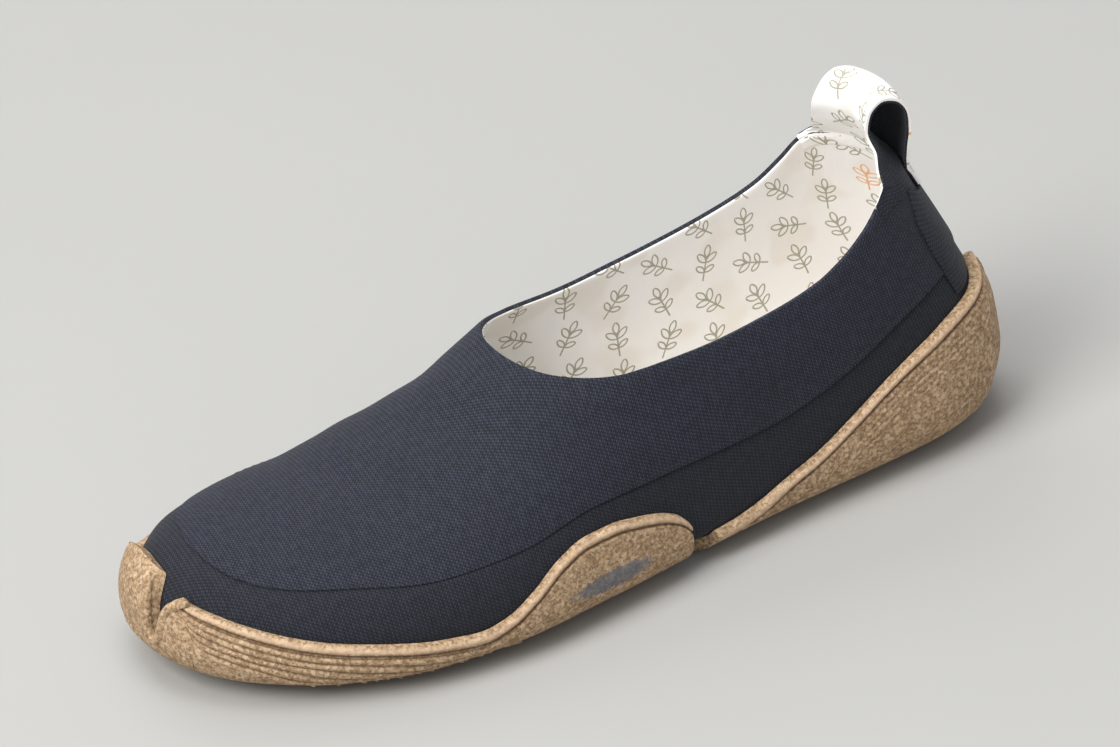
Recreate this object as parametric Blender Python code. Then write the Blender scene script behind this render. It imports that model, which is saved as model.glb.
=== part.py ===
"""Barefoot slip-on shoe for the left foot: a fabric upper over an open, wrapping cork-rubber sole.

The toe points to -X, the outer (lateral) side faces -Y and the inner (medial) side +Y.
All pieces are worked out from one skin, the outside of the upper, which is a row of
cross-sections from the back of the heel (station 0) to the toe tip (station 1).
Tables are in millimetres and the model is in metres.
"""

import math

import bmesh
import bpy
import numpy as np

MM = 0.001
LATERAL, MEDIAL = -1, 1

# Driving sizes
UPPER_LENGTH = 261.0 * MM
UPPER_WALL = 1.8 * MM
SEAM_STEP_WIDTH = 0.3 * MM
GAP = 0.4 * MM
SOLE_BOTTOM = 4.0 * MM
SOLE_WALL = 2.3 * MM
PANEL_THICKNESS = 1.6 * MM
PANEL_SPAN = (0.065, 0.926)
INSOLE_THICKNESS = 3.0 * MM
INSOLE_EDGE_GIRTH = -9.0 * MM
INSOLE_SPAN = (0.035, 0.955)
THROAT_STATION = 0.57
TOE_WRAP_STATION = 0.975
HEEL_CURVE_REACH = 0.42
STRIP_THICKNESS = 1.0 * MM
STRIP_HEIGHTS = (49.2 * MM, 77.6 * MM)
STRIP_CORNER_DROP = 1.2 * MM
STRIP_CORNER_RISE = 5.6 * MM
LOOP_THICKNESS = 1.5 * MM
WELD = 0.02 * MM

# Cross-sections of the skin, heel to toe. lateral and medial are the plan edges, ridge the
# place of the top line, top its height, widest the height of the plan edge, bottom the underside.
SECTION_COLUMNS = (
    "station", "lateral", "medial", "ridge", "top", "widest", "bottom", "top_power", "bottom_power")
SECTIONS = (
    (0.00, 0.0, 0.0, 0.0, 118.0, 22.0, 3.8, 2.00, 2.6),
    (0.05, 26.0, 25.0, 0.0, 122.0, 22.0, 3.8, 2.00, 2.8),
    (0.12, 31.5, 31.5, 0.8, 126.0, 21.0, 3.8, 2.00, 3.0),
    (0.20, 33.0, 32.5, 1.4, 124.0, 19.0, 3.8, 2.00, 3.2),
    (0.30, 35.0, 32.0, 2.1, 114.0, 17.0, 3.8, 2.00, 3.2),
    (0.42, 39.5, 33.0, 4.0, 94.0, 16.0, 3.8, 2.00, 3.2),
    (0.54, 45.5, 36.5, 6.5, 73.5, 16.0, 3.8, 2.05, 3.2),
    (0.65, 49.0, 43.0, 7.6, 56.0, 15.0, 3.8, 2.10, 3.2),
    (0.75, 46.5, 47.0, 8.6, 46.0, 14.5, 3.8, 2.20, 3.2),
    (0.85, 37.5, 48.0, 10.0, 41.0, 14.5, 4.5, 2.30, 3.0),
    (0.93, 23.5, 43.0, 12.0, 38.0, 14.5, 6.8, 2.30, 2.8),
    (0.98, 6.0, 33.5, 15.0, 29.5, 14.5, 9.8, 2.20, 2.4),
    (1.00, -18.0, 18.0, 18.0, 17.5, 14.5, 13.0, 2.00, 2.0),
)

# How far the back of the heel leans in towards the toe at each height.
HEEL_COLUMNS = ("height", "set_in")
HEEL_CURVE = (
    (0.0, 11.0), (6.0, 6.5), (14.0, 3.0), (24.0, 0.0), (36.0, 0.6),
    (50.0, 6.0), (65.0, 12.0), (82.0, 19.0), (105.0, 27.0), (130.0, 33.0),
)

# Height of the collar edge on each side, from the back of the heel to the throat.
COLLAR_COLUMNS = ("station", "lateral", "medial")
COLLAR = (
    (0.00, 86.0, 86.0),
    (0.04, 86.8, 87.2),
    (0.075, 86.8, 87.6),
    (0.095, 84.8, 86.0),
    (0.135, 79.6, 79.8),
    (0.18, 74.2, 74.0),
    (0.215, 71.0, 71.4),
    (0.29, 67.4, 68.2),
    (0.38, 65.4, 65.4),
    (0.46, 65.0, 63.8),
    (0.52, 66.4, 65.2),
    (0.57, 68.5, 68.5),
)

# The seam between the vamp panel and the side panel: its girth above the widest line, and
# how far the vamp panel stands proud of the side panel there.
SEAM_COLUMNS = ("station", "girth", "step")
SEAM = (
    (0.00, 36.0, 0.8),
    (0.05, 35.0, 0.8),
    (0.10, 32.4, 0.8),
    (0.16, 27.5, 0.8),
    (0.21, 23.2, 0.7),
    (0.26, 20.3, 0.7),
    (0.32, 18.5, 0.7),
    (0.45, 19.8, 0.6),
    (0.54, 20.5, 0.45),
    (0.63, 18.0, 0.35),
    (0.72, 17.3, 0.35),
    (0.81, 20.3, 0.4),
    (0.88, 22.6, 0.5),
    (0.915, 26.0, 0.6),
    (0.936, 34.0, 0.6),
    (0.945, 52.0, 0.0),
    (1.00, 60.0, 0.0),
)

# Top edge of the outsole on each side, as girth above the widest line (below it, under the
# foot, where negative), how strongly the rolled rim and the side ribs stand out there, and what the
# wall gains in thickness round the heel and the toe.
SOLE_COLUMNS = ("station", "lateral", "medial", "rim", "lateral_ribs", "medial_ribs", "extra")
SOLE_EDGE = (
    (0.000, 25.5, 25.5, 1.0, 0.0, 0.0, 0.7),
    (0.035, 24.5, 24.0, 1.0, 0.0, 0.2, 0.7),
    (0.075, 22.8, 19.5, 1.0, 0.0, 0.8, 0.6),
    (0.120, 19.5, 16.0, 1.0, 0.0, 1.0, 0.4),
    (0.170, 14.6, 13.5, 1.0, 0.0, 1.0, 0.1),
    (0.220, 8.5, 7.8, 1.0, 0.0, 1.0, 0.0),
    (0.268, 3.0, 1.2, 1.0, 0.0, 1.0, 0.0),
    (0.310, -0.2, -6.8, 1.0, 0.0, 0.8, 0.0),
    (0.350, -3.3, -15.0, 1.0, 0.0, 0.3, 0.0),
    (0.385, -5.0, -22.8, 1.0, 0.0, 0.0, 0.0),
    (0.420, -5.6, -27.0, 1.0, 0.0, 0.0, 0.0),
    (0.432, -5.4, -27.2, 1.0, 0.0, 0.0, 0.0),
    (0.438, 1.0, -27.2, 1.0, 0.0, 0.0, 0.0),
    (0.447, 5.0, -27.1, 1.0, 0.0, 0.0, 0.0),
    (0.453, 6.6, -26.9, 1.0, 0.0, 0.0, 0.0),
    (0.474, 9.8, -25.9, 1.0, 0.0, 0.0, 0.0),
    (0.502, 12.2, -23.7, 1.0, 0.0, 0.0, 0.0),
    (0.535, 13.9, -19.0, 1.0, 0.0, 0.0, 0.0),
    (0.565, 13.9, -13.6, 1.0, 0.0, 0.0, 0.0),
    (0.600, 11.5, -6.8, 1.0, 0.0, 0.0, 0.0),
    (0.640, 5.6, 0.8, 1.0, 0.1, 0.0, 0.0),
    (0.671, 1.4, 3.6, 1.0, 0.4, 0.2, 0.0),
    (0.701, -0.3, 5.0, 1.0, 0.7, 0.4, 0.0),
    (0.740, 0.6, 6.0, 1.0, 0.9, 0.5, 0.0),
    (0.800, 3.2, 6.4, 1.0, 1.0, 0.6, 0.0),
    (0.850, 5.5, 7.2, 1.0, 1.0, 0.7, 0.0),
    (0.900, 8.9, 7.2, 1.0, 1.0, 0.7, 0.1),
    (0.930, 11.6, 7.2, 1.0, 1.0, 0.7, 0.3),
    (0.950, 13.8, 7.4, 1.0, 1.0, 0.4, 0.7),
    (0.960, 15.0, 8.0, 1.0, 0.9, 0.1, 0.9),
    (0.967, 16.6, 9.4, 0.9, 0.6, 0.0, 1.1),
    (0.9715, 24.0, 17.0, 0.6, 0.3, 0.0, 1.3),
    (0.975, 60.0, 60.0, 0.0, 0.0, 0.0, 1.6),
    (1.000, 60.0, 60.0, 0.0, 0.0, 0.0, 1.8),
)

# Outside of the sole wall at distances down from its edge: a rolled rim, a groove, then ribs.
# rib adds to the wall where the ribs are strong.
WALL_COLUMNS = ("distance", "wall", "rib")
WALL_PROFILE = (
    (0.0, 1.2, 0.0),
    (0.8, 2.4, 0.0),
    (2.0, 2.5, 0.0),
    (2.9, 1.8, -0.2),
    (4.1, 2.3, 0.3),
    (5.2, 2.3, -0.5),
    (6.5, 2.3, 0.3),
    (7.6, 2.3, -0.5),
    (8.9, 2.3, 0.3),
    (10.2, 2.3, 0.0),
)
SOLE_BOTTOM_ROWS = 5
SOLE_INNER_TURNS = (
    0.0, 0.07, 0.15, 0.24, 0.33, 0.40, 0.46, 0.52, 0.58, 0.64, 0.70, 0.76, 0.82, 0.88, 0.94, 1.0)

# The opening under the foot, which the bottom panel closes, as half-widths from the middle.
OPENING_COLUMNS = ("station", "lateral", "medial")
OPENING = (
    (0.060, 0.0, 0.0),
    (0.085, 9.0, 9.0),
    (0.130, 15.0, 14.0),
    (0.220, 18.0, 14.0),
    (0.340, 18.0, 8.0),
    (0.440, 20.0, 5.0),
    (0.540, 26.0, 7.0),
    (0.650, 32.0, 16.0),
    (0.760, 32.0, 22.0),
    (0.850, 26.0, 22.0),
    (0.910, 12.0, 12.0),
    (0.930, 0.0, 0.0),
)

# The slit that frees the outer lobe of the sole: its middle line in plan and its half-width.
SLIT_COLUMNS = ("x", "y", "half_width")
SLIT = (
    (24.0, -58.0, 6.5),
    (22.0, -46.0, 5.2),
    (16.5, -36.0, 4.0),
    (8.0, -30.0, 3.0),
    (-4.0, -25.4, 2.4),
    (-18.0, -20.0, 2.1),
    (-32.0, -15.2, 2.0),
    (-46.0, -10.8, 2.0),
    (-60.0, -7.0, 2.0),
    (-68.0, -5.0, 2.0),
)
POCKET_CENTRE = (-73.5 * MM, -1.8 * MM)
POCKET_SIZE = (27.0 * MM, 10.5 * MM)
POCKET_CORNER = 2.6 * MM
POCKET_TURN = math.radians(127.0)
CORNER_STEPS = 5

# Notches in the sole wall at the toe and at the heel, as seen from the end of the shoe.
TOE_NOTCH = (
    (-16.0, 44.0), (-12.5, 33.2), (-9.5, 31.0), (-6.0, 30.2), (-3.8, 29.2), (-2.2, 27.4), (-1.3, 24.8),
    (-0.7, 21.0), (0.4, 18.0), (1.8, 16.8), (3.2, 17.8), (4.4, 22.0), (5.6, 27.4), (7.3, 30.9), (10.1, 33.3),
    (14.2, 35.1), (17.0, 44.0),
)
HEEL_NOTCH = (
    (-9.0, 56.0), (-5.5, 46.0), (-2.8, 36.0), (-1.6, 22.0), (-1.0, 10.0), (0.3, 6.3), (2.0, 5.4),
    (3.7, 6.3), (5.0, 10.0), (5.6, 20.0), (6.6, 32.0), (9.5, 42.0), (13.0, 56.0),
)
NOTCH_REACH = 30.0 * MM

# Middle line of the pull loop, seen from the side, from the collar over and down the back, with the
# band's half-width, how far both its edges curl forward and how far the inner edge goes beyond that.
LOOP_COLUMNS = ("x", "z", "half_width", "curl", "twist")
LOOP = (
    (109.1, 87.0, 24.0, 13.5, 0.0),
    (106.2, 91.5, 19.5, 9.5, 1.5),
    (102.9, 97.0, 15.2, 3.6, 4.5),
    (101.2, 102.5, 12.8, 2.6, 4.2),
    (102.3, 107.6, 12.4, 1.8, 3.0),
    (106.3, 110.2, 12.4, 1.5, 2.4),
    (110.6, 108.6, 12.4, 1.5, 1.6),
    (113.2, 104.0, 12.4, 1.5, 0.8),
    (113.7, 98.5, 12.4, 2.1, 0.3),
    (112.9, 92.5, 12.2, 2.5, 0.0),
    (112.3, 88.0, 12.0, 2.5, 0.0),
    (113.0, 83.5, 11.6, 3.0, 0.0),
    (114.9, 78.9, 11.2, 3.0, 0.0),
)
LOOP_FLARE_HEIGHT = 9.0 * MM
LOOP_LIFT = 1.8 * MM
LOOP_STEPS = 25
LOOP_PLACES = (-1.0, -0.79, -0.44, 0.0, 0.44, 0.79, 1.0)

MATERIALS = {
    "navy_fabric": ((0.018, 0.022, 0.036), 0.85),
    "cork_rubber": ((0.36, 0.23, 0.12), 0.8),
    "lining_fabric": ((0.74, 0.70, 0.62), 0.85),
}


def station_angle(station):
    """Angle whose cosine spacing crowds the stations towards both ends, so that ends come out round."""
    return np.arccos(np.clip(1.0 - 2.0 * np.asarray(station, float), -1.0, 1.0))


def angle_station(angle):
    return (1.0 - np.cos(angle)) / 2.0


def curve_through(xs, ys):
    """A smooth curve through the points that never overshoots them."""
    xs, ys = np.asarray(xs, float), np.asarray(ys, float)
    widths = np.diff(xs)
    rises = np.diff(ys) / widths
    slopes = np.zeros_like(ys)
    for i in range(1, len(xs) - 1):
        if rises[i - 1] * rises[i] > 0.0:
            before, after = 2 * widths[i] + widths[i - 1], widths[i] + 2 * widths[i - 1]
            slopes[i] = (before + after) / (before / rises[i - 1] + after / rises[i])
    slopes[0] = 1.5 * rises[0] - 0.5 * slopes[1]
    slopes[-1] = 1.5 * rises[-1] - 0.5 * slopes[-2]

    def curve(x):
        x = np.clip(np.asarray(x, float), xs[0], xs[-1])
        i = np.clip(np.searchsorted(xs, x) - 1, 0, len(xs) - 2)
        t = (x - xs[i]) / widths[i]
        rise = ys[i] * (2 * t**3 - 3 * t**2 + 1) + ys[i + 1] * (3 * t**2 - 2 * t**3)
        return rise + widths[i] * (slopes[i] * (t**3 - 2 * t**2 + t) + slopes[i + 1] * (t**3 - t**2))

    return curve


def columns_of(names, rows, unscaled=()):
    """The table as one array for each named column, in metres."""
    values = np.array(rows, float).T
    return {name: column * (1.0 if name in unscaled else MM) for name, column in zip(names, values)}


def station_curves(names, rows, unscaled=()):
    """One curve over the station angle for each column of a table of stations."""
    table = columns_of(names, rows, ("station", *unscaled))
    angles = station_angle(table.pop("station"))
    return {name: curve_through(angles, column) for name, column in table.items()}


section = station_curves(SECTION_COLUMNS, SECTIONS, ("top_power", "bottom_power"))
collar = station_curves(COLLAR_COLUMNS, COLLAR)
seam = station_curves(SEAM_COLUMNS, SEAM)
sole_edge = station_curves(SOLE_COLUMNS, SOLE_EDGE, ("rim", "lateral_ribs", "medial_ribs"))
opening = station_curves(OPENING_COLUMNS, OPENING)
heel_table = columns_of(HEEL_COLUMNS, HEEL_CURVE)
heel_set_in = curve_through(heel_table["height"], heel_table["set_in"])
wall_profile = columns_of(WALL_COLUMNS, WALL_PROFILE)
SIDE_NAME = {LATERAL: "lateral", MEDIAL: "medial"}


def skin(angle, turn, side):
    """A point on the outside of the upper. turn runs from the ridge (0) over the widest line (0.5)
    to the middle of the underside (1)."""
    angle, turn = np.broadcast_arrays(np.asarray(angle, float), np.asarray(turn, float))
    ridge, widest = section["ridge"](angle), section["widest"](angle)
    half = side * section[SIDE_NAME[side]](angle) - ridge
    rise = np.clip(1.0 - 2.0 * turn, 0.0, 1.0) * math.pi / 2
    fall = np.clip(2.0 * turn - 1.0, 0.0, 1.0) * math.pi / 2
    above = 2.0 / section["top_power"](angle)
    below = 2.0 / section["bottom_power"](angle)
    high = turn < 0.5
    reach = np.where(high, np.cos(rise) ** above, np.clip(np.cos(fall), 0.0, 1.0) ** below)
    z = np.where(
        high,
        widest + (section["top"](angle) - widest) * np.sin(rise) ** above,
        widest - (widest - section["bottom"](angle)) * np.sin(fall) ** below,
    )
    station = angle_station(angle)
    lean = np.clip(1.0 - station / HEEL_CURVE_REACH, 0.0, 1.0) ** 2
    x = UPPER_LENGTH / 2 - station * UPPER_LENGTH - heel_set_in(z) * lean
    return np.stack([x, ridge + half * reach, z], -1)


def skin_normal(angle, turn, side):
    """The outward direction of the skin. On the middle plane it has no sideways part."""
    step = 1e-4
    angle, turn = np.broadcast_arrays(np.asarray(angle, float), np.asarray(turn, float))
    middle = (turn <= step) | (turn >= 1.0 - step) | (angle <= step) | (angle >= math.pi - step)
    turn = np.clip(turn, 20 * step, 1.0 - 20 * step)
    angle = np.clip(angle, 20 * step, math.pi - 20 * step)
    along = skin(angle + step, turn, side) - skin(angle - step, turn, side)
    around = skin(angle, turn + step, side) - skin(angle, turn - step, side)
    normal = np.cross(around, along) * side
    normal[..., 1] = np.where(middle, 0.0, normal[..., 1])
    return normal / np.maximum(np.linalg.norm(normal, axis=-1, keepdims=True), 1e-15)


def offset_skin(angle, turn, side, offset):
    return skin(angle, turn, side) + skin_normal(angle, turn, side) * np.asarray(offset)[..., None]


GIRTH_TURNS = np.linspace(0.0, 1.0, 301)


def girths(angle, side):
    """Length around the section from the widest line, up positive, at each of GIRTH_TURNS."""
    points = skin(angle, GIRTH_TURNS, side)
    lengths = np.concatenate([[0.0], np.cumsum(np.linalg.norm(np.diff(points, axis=0), axis=1))])
    return np.interp(0.5, GIRTH_TURNS, lengths) - lengths


def turn_at_girth(angle, side, girth):
    return np.interp(-np.asarray(girth), -girths(angle, side), GIRTH_TURNS)


def girth_at_turn(angle, side, turn):
    return np.interp(turn, GIRTH_TURNS, girths(angle, side))


def collar_turn(angle, side):
    """Where the collar edge, or the ridge ahead of the throat, starts the upper's wall."""
    if angle >= station_angle(THROAT_STATION) - 1e-9:
        return 0.0
    widest = section["widest"](angle)
    share = (collar[SIDE_NAME[side]](angle) - widest) / (section["top"](angle) - widest)
    return 0.5 - math.asin(np.clip(share, 0.0, 1.0) ** (section["top_power"](angle) / 2)) / math.pi


def opening_turn(angle, side, margin=0.0):
    """Where the edge of the opening under the foot cuts the section, or the middle outside it."""
    width = float(opening[SIDE_NAME[side]](angle)) - margin
    ends = station_angle([OPENING[0][0], OPENING[-1][0]])
    if width <= 0.0 or not ends[0] < angle < ends[1]:
        return 1.0
    half = abs(side * section[SIDE_NAME[side]](angle) - section["ridge"](angle))
    reach = np.clip(width / half, 0.0, 1.0)
    return 0.5 + math.acos(reach ** (section["bottom_power"](angle) / 2)) / math.pi


def sole_edge_turn(angle, side):
    """Where the top edge of the outsole cuts the section. Past the toe wrap it closes on the ridge."""
    if angle >= station_angle(TOE_WRAP_STATION) - 1e-9:
        return 0.0
    return float(turn_at_girth(angle, side, sole_edge[SIDE_NAME[side]](angle)))


def remove_old_objects():
    for obj in list(bpy.data.objects):
        bpy.data.objects.remove(obj)


def principled(name):
    colour, roughness = MATERIALS[name]
    material = bpy.data.materials.new(name)
    material.use_nodes = True
    shader = material.node_tree.nodes["Principled BSDF"]
    shader.inputs["Base Color"].default_value = (*colour, 1.0)
    shader.inputs["Roughness"].default_value = roughness
    return material


class Welder:
    """Collects faces by the places of their corners, and joins touching grids when it finishes."""

    def __init__(self):
        self.mesh = bmesh.new()

    def face(self, *points):
        self.mesh.faces.new([self.mesh.verts.new(point) for point in points])

    def grid(self, rows):
        """Faces between successive rows of points."""
        for before, after in zip(rows[:-1], rows[1:]):
            for k in range(len(before) - 1):
                self.face(before[k], after[k], after[k + 1], before[k + 1])

    def finish(self, name, material, parent):
        bmesh.ops.remove_doubles(self.mesh, verts=self.mesh.verts, dist=WELD)
        bmesh.ops.triangulate(self.mesh, faces=[f for f in self.mesh.faces if len(f.verts) > 4])
        bmesh.ops.recalc_face_normals(self.mesh, faces=self.mesh.faces)
        data = bpy.data.meshes.new(name)
        self.mesh.to_mesh(data)
        self.mesh.free()
        data.shade_smooth()
        data.set_sharp_from_angle(angle=math.radians(40))
        obj = bpy.data.objects.new(name, data)
        bpy.context.scene.collection.objects.link(obj)
        if material is not None:
            obj.data.materials.append(material)
        obj.parent = parent
        return obj


def station_list(count, extra, span=(0.0, 1.0)):
    """Station angles, evenly spread, with the extra stations that corners need."""
    low, high = station_angle(span)
    spread = np.linspace(low, high, count)
    wanted = [a for a in station_angle(extra) if low < a < high]
    keep = [a for a in spread[1:-1] if all(abs(a - w) > 0.4 * (high - low) / count for w in wanted)]
    return sorted([low, high, *keep, *wanted])


def wrapped_solid(name, material, parent, angles, outer_rows, inner_rows, top_turn, end_turn):
    """A wall that follows the skin on both sides. outer_rows and inner_rows give a section's points
    from its top edge down; an edge is closed with a rim wherever the two sides don't meet there."""
    welder = Welder()
    for side in (LATERAL, MEDIAL):
        outer = [outer_rows(angle, side) for angle in angles]
        inner = [inner_rows(angle, side) for angle in angles]
        welder.grid(outer)
        welder.grid(inner)
        for i in range(len(angles) - 1):
            pair = angles[i : i + 2]
            if max(top_turn(angle, side) for angle in pair) > 1e-6:
                welder.face(outer[i][0], outer[i + 1][0], inner[i + 1][0], inner[i][0])
            if min(end_turn(angle, side) for angle in pair) < 1.0 - 1e-6:
                welder.face(outer[i][-1], outer[i + 1][-1], inner[i + 1][-1], inner[i][-1])
    return welder.finish(name, material, parent)


UPPER_ROWS_ABOVE_SEAM, UPPER_ROWS_BELOW_SEAM, UPPER_INNER_ROWS = 6, 8, 10


def upper_outer_rows(angle, side):
    """Vamp panel, a step down at the seam, then side panel round to the opening underneath."""
    start, end = collar_turn(angle, side), opening_turn(angle, side)
    edge = max(start, float(turn_at_girth(angle, side, seam["girth"](angle))))
    step = float(seam["step"](angle)) if edge > start else 0.0
    below = max(edge, float(turn_at_girth(angle, side, girth_at_turn(angle, side, edge) - SEAM_STEP_WIDTH)))
    if edge <= start:
        below = start
    vamp = np.linspace(start, edge, UPPER_ROWS_ABOVE_SEAM)
    quarter = np.linspace(below, end, UPPER_ROWS_BELOW_SEAM)
    turns = np.concatenate([vamp, quarter])
    steps = np.concatenate([np.full(len(vamp), step), np.zeros(len(quarter))])
    return offset_skin(angle, turns, side, steps)


def upper_inner_rows(angle, side):
    turns = np.linspace(collar_turn(angle, side), opening_turn(angle, side), UPPER_INNER_ROWS)
    return offset_skin(angle, turns, side, np.full(len(turns), -UPPER_WALL))


def make_upper(material, parent, angles):
    return wrapped_solid(
        "upper", material, parent, angles, upper_outer_rows, upper_inner_rows, collar_turn, opening_turn)


def sole_outer_rows(angle, side):
    """Rolled rim, groove and ribs down the wall, then the tread, flattened where it meets the floor."""
    edge = sole_edge_turn(angle, side)
    reach = girth_at_turn(angle, side, edge) - girth_at_turn(angle, side, 1.0)
    squeeze = min(1.0, 0.55 * reach / wall_profile["distance"][-1])
    distances = wall_profile["distance"] * squeeze
    wall_turns = turn_at_girth(angle, side, girth_at_turn(angle, side, edge) - distances)
    turns = np.concatenate([wall_turns, np.linspace(wall_turns[-1], 1.0, SOLE_BOTTOM_ROWS)[1:]])
    strength = float(sole_edge[SIDE_NAME[side] + "_ribs"](angle))
    under = np.clip((turns - 0.5) / 0.3, 0.0, 1.0)
    thickness = SOLE_WALL + (SOLE_BOTTOM - SOLE_WALL) * under * under * (3 - 2 * under)
    thickness += float(sole_edge["extra"](angle)) * (1.0 - under)
    rim = float(sole_edge["rim"](angle))
    thickness[:len(distances)] += rim * (wall_profile["wall"] - SOLE_WALL) + strength * wall_profile["rib"]
    points = offset_skin(angle, turns, side, GAP + thickness)
    points[:, 2] = np.maximum(points[:, 2], 0.0)
    return points


def sole_inner_rows(angle, side):
    turns = np.maximum(SOLE_INNER_TURNS, sole_edge_turn(angle, side))
    return offset_skin(angle, turns, side, np.full(len(turns), GAP))


def prism(name, outline, axis, low, high):
    """A cutter: a closed outline in the plane across the axis, run from low to high along it."""
    welder = Welder()
    rings = []
    for level in (low, high):
        rings.append([np.insert(np.asarray(point, float), axis, level) for point in outline])
    for k in range(len(outline)):
        n = (k + 1) % len(outline)
        welder.face(rings[0][k], rings[0][n], rings[1][n], rings[1][k])
    welder.face(*rings[0])
    welder.face(*rings[1])
    obj = welder.finish(name, None, None)
    obj.hide_render = True
    obj.display_type = "WIRE"
    return obj


def slit_outline():
    """Both edges of the slit, offset from its middle line."""
    table = columns_of(SLIT_COLUMNS, SLIT)
    middle = np.stack([table["x"], table["y"]], -1)
    along = np.gradient(middle, axis=0)
    along /= np.linalg.norm(along, axis=1, keepdims=True)
    across = np.stack([-along[:, 1], along[:, 0]], -1) * table["half_width"][:, None]
    return [*(middle + across), *(middle - across)[::-1]]


def pocket_outline():
    """A rounded rectangle turned towards the big toe."""
    turn = np.array([[math.cos(POCKET_TURN), -math.sin(POCKET_TURN)],
                     [math.sin(POCKET_TURN), math.cos(POCKET_TURN)]])
    points = []
    for quarter, (sx, sy) in enumerate(((1, 1), (-1, 1), (-1, -1), (1, -1))):
        corner = np.array([sx, sy]) * (np.array(POCKET_SIZE) / 2 - POCKET_CORNER)
        for k in range(CORNER_STEPS):
            angle = math.pi / 2 * (quarter + k / (CORNER_STEPS - 1))
            arm = POCKET_CORNER * np.array([math.cos(angle), math.sin(angle)])
            points.append(turn @ (corner + arm) + np.array(POCKET_CENTRE))
    return points


def cut(obj, cutter):
    boolean = obj.modifiers.new("cut_" + cutter.name, "BOOLEAN")
    boolean.operation = "DIFFERENCE"
    boolean.object = cutter


def make_outsole(material, parent, angles):
    sole = wrapped_solid(
        "outsole", material, parent, angles, sole_outer_rows, sole_inner_rows, sole_edge_turn,
        lambda angle, side: 1.0)
    toe_end, heel_end = -UPPER_LENGTH / 2, UPPER_LENGTH / 2
    margin = 12.0 * MM
    slit_height = 30.0 * MM
    cutters = (
        prism("slit_cutter", slit_outline(), 2, -margin, slit_height),
        prism("pocket_cutter", pocket_outline(), 2, -margin, slit_height),
        prism("toe_notch_cutter", np.array(TOE_NOTCH) * MM, 0, toe_end - margin, toe_end + NOTCH_REACH),
        prism("heel_notch_cutter", np.array(HEEL_NOTCH) * MM, 0, heel_end - NOTCH_REACH, heel_end + margin),
    )
    for cutter in cutters:
        cutter.parent = parent
        cut(sole, cutter)
    return sole


PANEL_ROWS = 3


def panel_turn(angle, side):
    low, high = station_angle(PANEL_SPAN)
    return opening_turn(angle, side, GAP) if low + 1e-9 < angle < high - 1e-9 else 1.0


def panel_rows(offset):
    def rows(angle, side):
        turns = np.linspace(panel_turn(angle, side), 1.0, PANEL_ROWS)
        return offset_skin(angle, turns, side, np.full(len(turns), offset))

    return rows


def make_bottom_panel(material, parent, angles):
    """The fabric panel that closes the upper underneath and shows in the slit of the sole."""
    low, high = station_angle(PANEL_SPAN)
    inside = [angle for angle in angles if low - 1e-9 < angle < high + 1e-9]
    return wrapped_solid(
        "bottom_panel", material, parent, inside, panel_rows(0.0), panel_rows(-PANEL_THICKNESS), panel_turn,
        lambda angle, side: 1.0)


def insole_turn(angle, side):
    """The insole stops just short of the turn of the wall, and closes in an arc at both ends."""
    low, high = station_angle(INSOLE_SPAN)
    close = math.sin(math.pi * np.clip((angle - low) / (high - low), 0.0, 1.0)) ** 0.35
    full = float(turn_at_girth(angle, side, INSOLE_EDGE_GIRTH))
    return 1.0 - (1.0 - full) * close if close > 1e-3 else 1.0


INSOLE_ROWS = 4


def insole_rows(offset):
    def rows(angle, side):
        turns = np.linspace(insole_turn(angle, side), 1.0, INSOLE_ROWS)
        return offset_skin(angle, turns, side, np.full(len(turns), offset))

    return rows


def make_insole(material, parent):
    angles = station_list(26, (), INSOLE_SPAN)
    underside = -(UPPER_WALL + GAP)
    return wrapped_solid(
        "insole", material, parent, angles, insole_rows(underside), insole_rows(underside - INSOLE_THICKNESS),
        insole_turn, lambda angle, side: 1.0)


HEEL_ANGLES = np.linspace(0.0, station_angle(0.16), 160)


def heel_point(y, z, offset):
    """A point of the heel's back at a sideways place and a height, offset from the skin."""
    side = MEDIAL if y >= 0.0 else LATERAL
    widest, top = section["widest"](HEEL_ANGLES), section["top"](HEEL_ANGLES)
    share = np.clip((z - widest) / (top - widest), 0.0, 1.0)
    turns = 0.5 - np.arcsin(share ** (section["top_power"](HEEL_ANGLES) / 2)) / math.pi
    sideways = np.abs(skin(HEEL_ANGLES, turns, side)[:, 1])
    angle = np.interp(abs(y), sideways, HEEL_ANGLES)
    turn = np.interp(angle, HEEL_ANGLES, turns)
    return offset_skin(angle, turn, side, offset)


# Half-width of the heel strip at shares of its height.
STRIP_COLUMNS = ("share", "half_width")
STRIP_WIDTHS = ((0.0, 24.6), (0.35, 24.2), (0.7, 22.6), (1.0, 18.0))
STRIP_ROWS, STRIP_ACROSS = 9, 11
STRIP_SPREAD = math.radians(75.0)
SEAM_RAMP = 4.0 * MM


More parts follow.
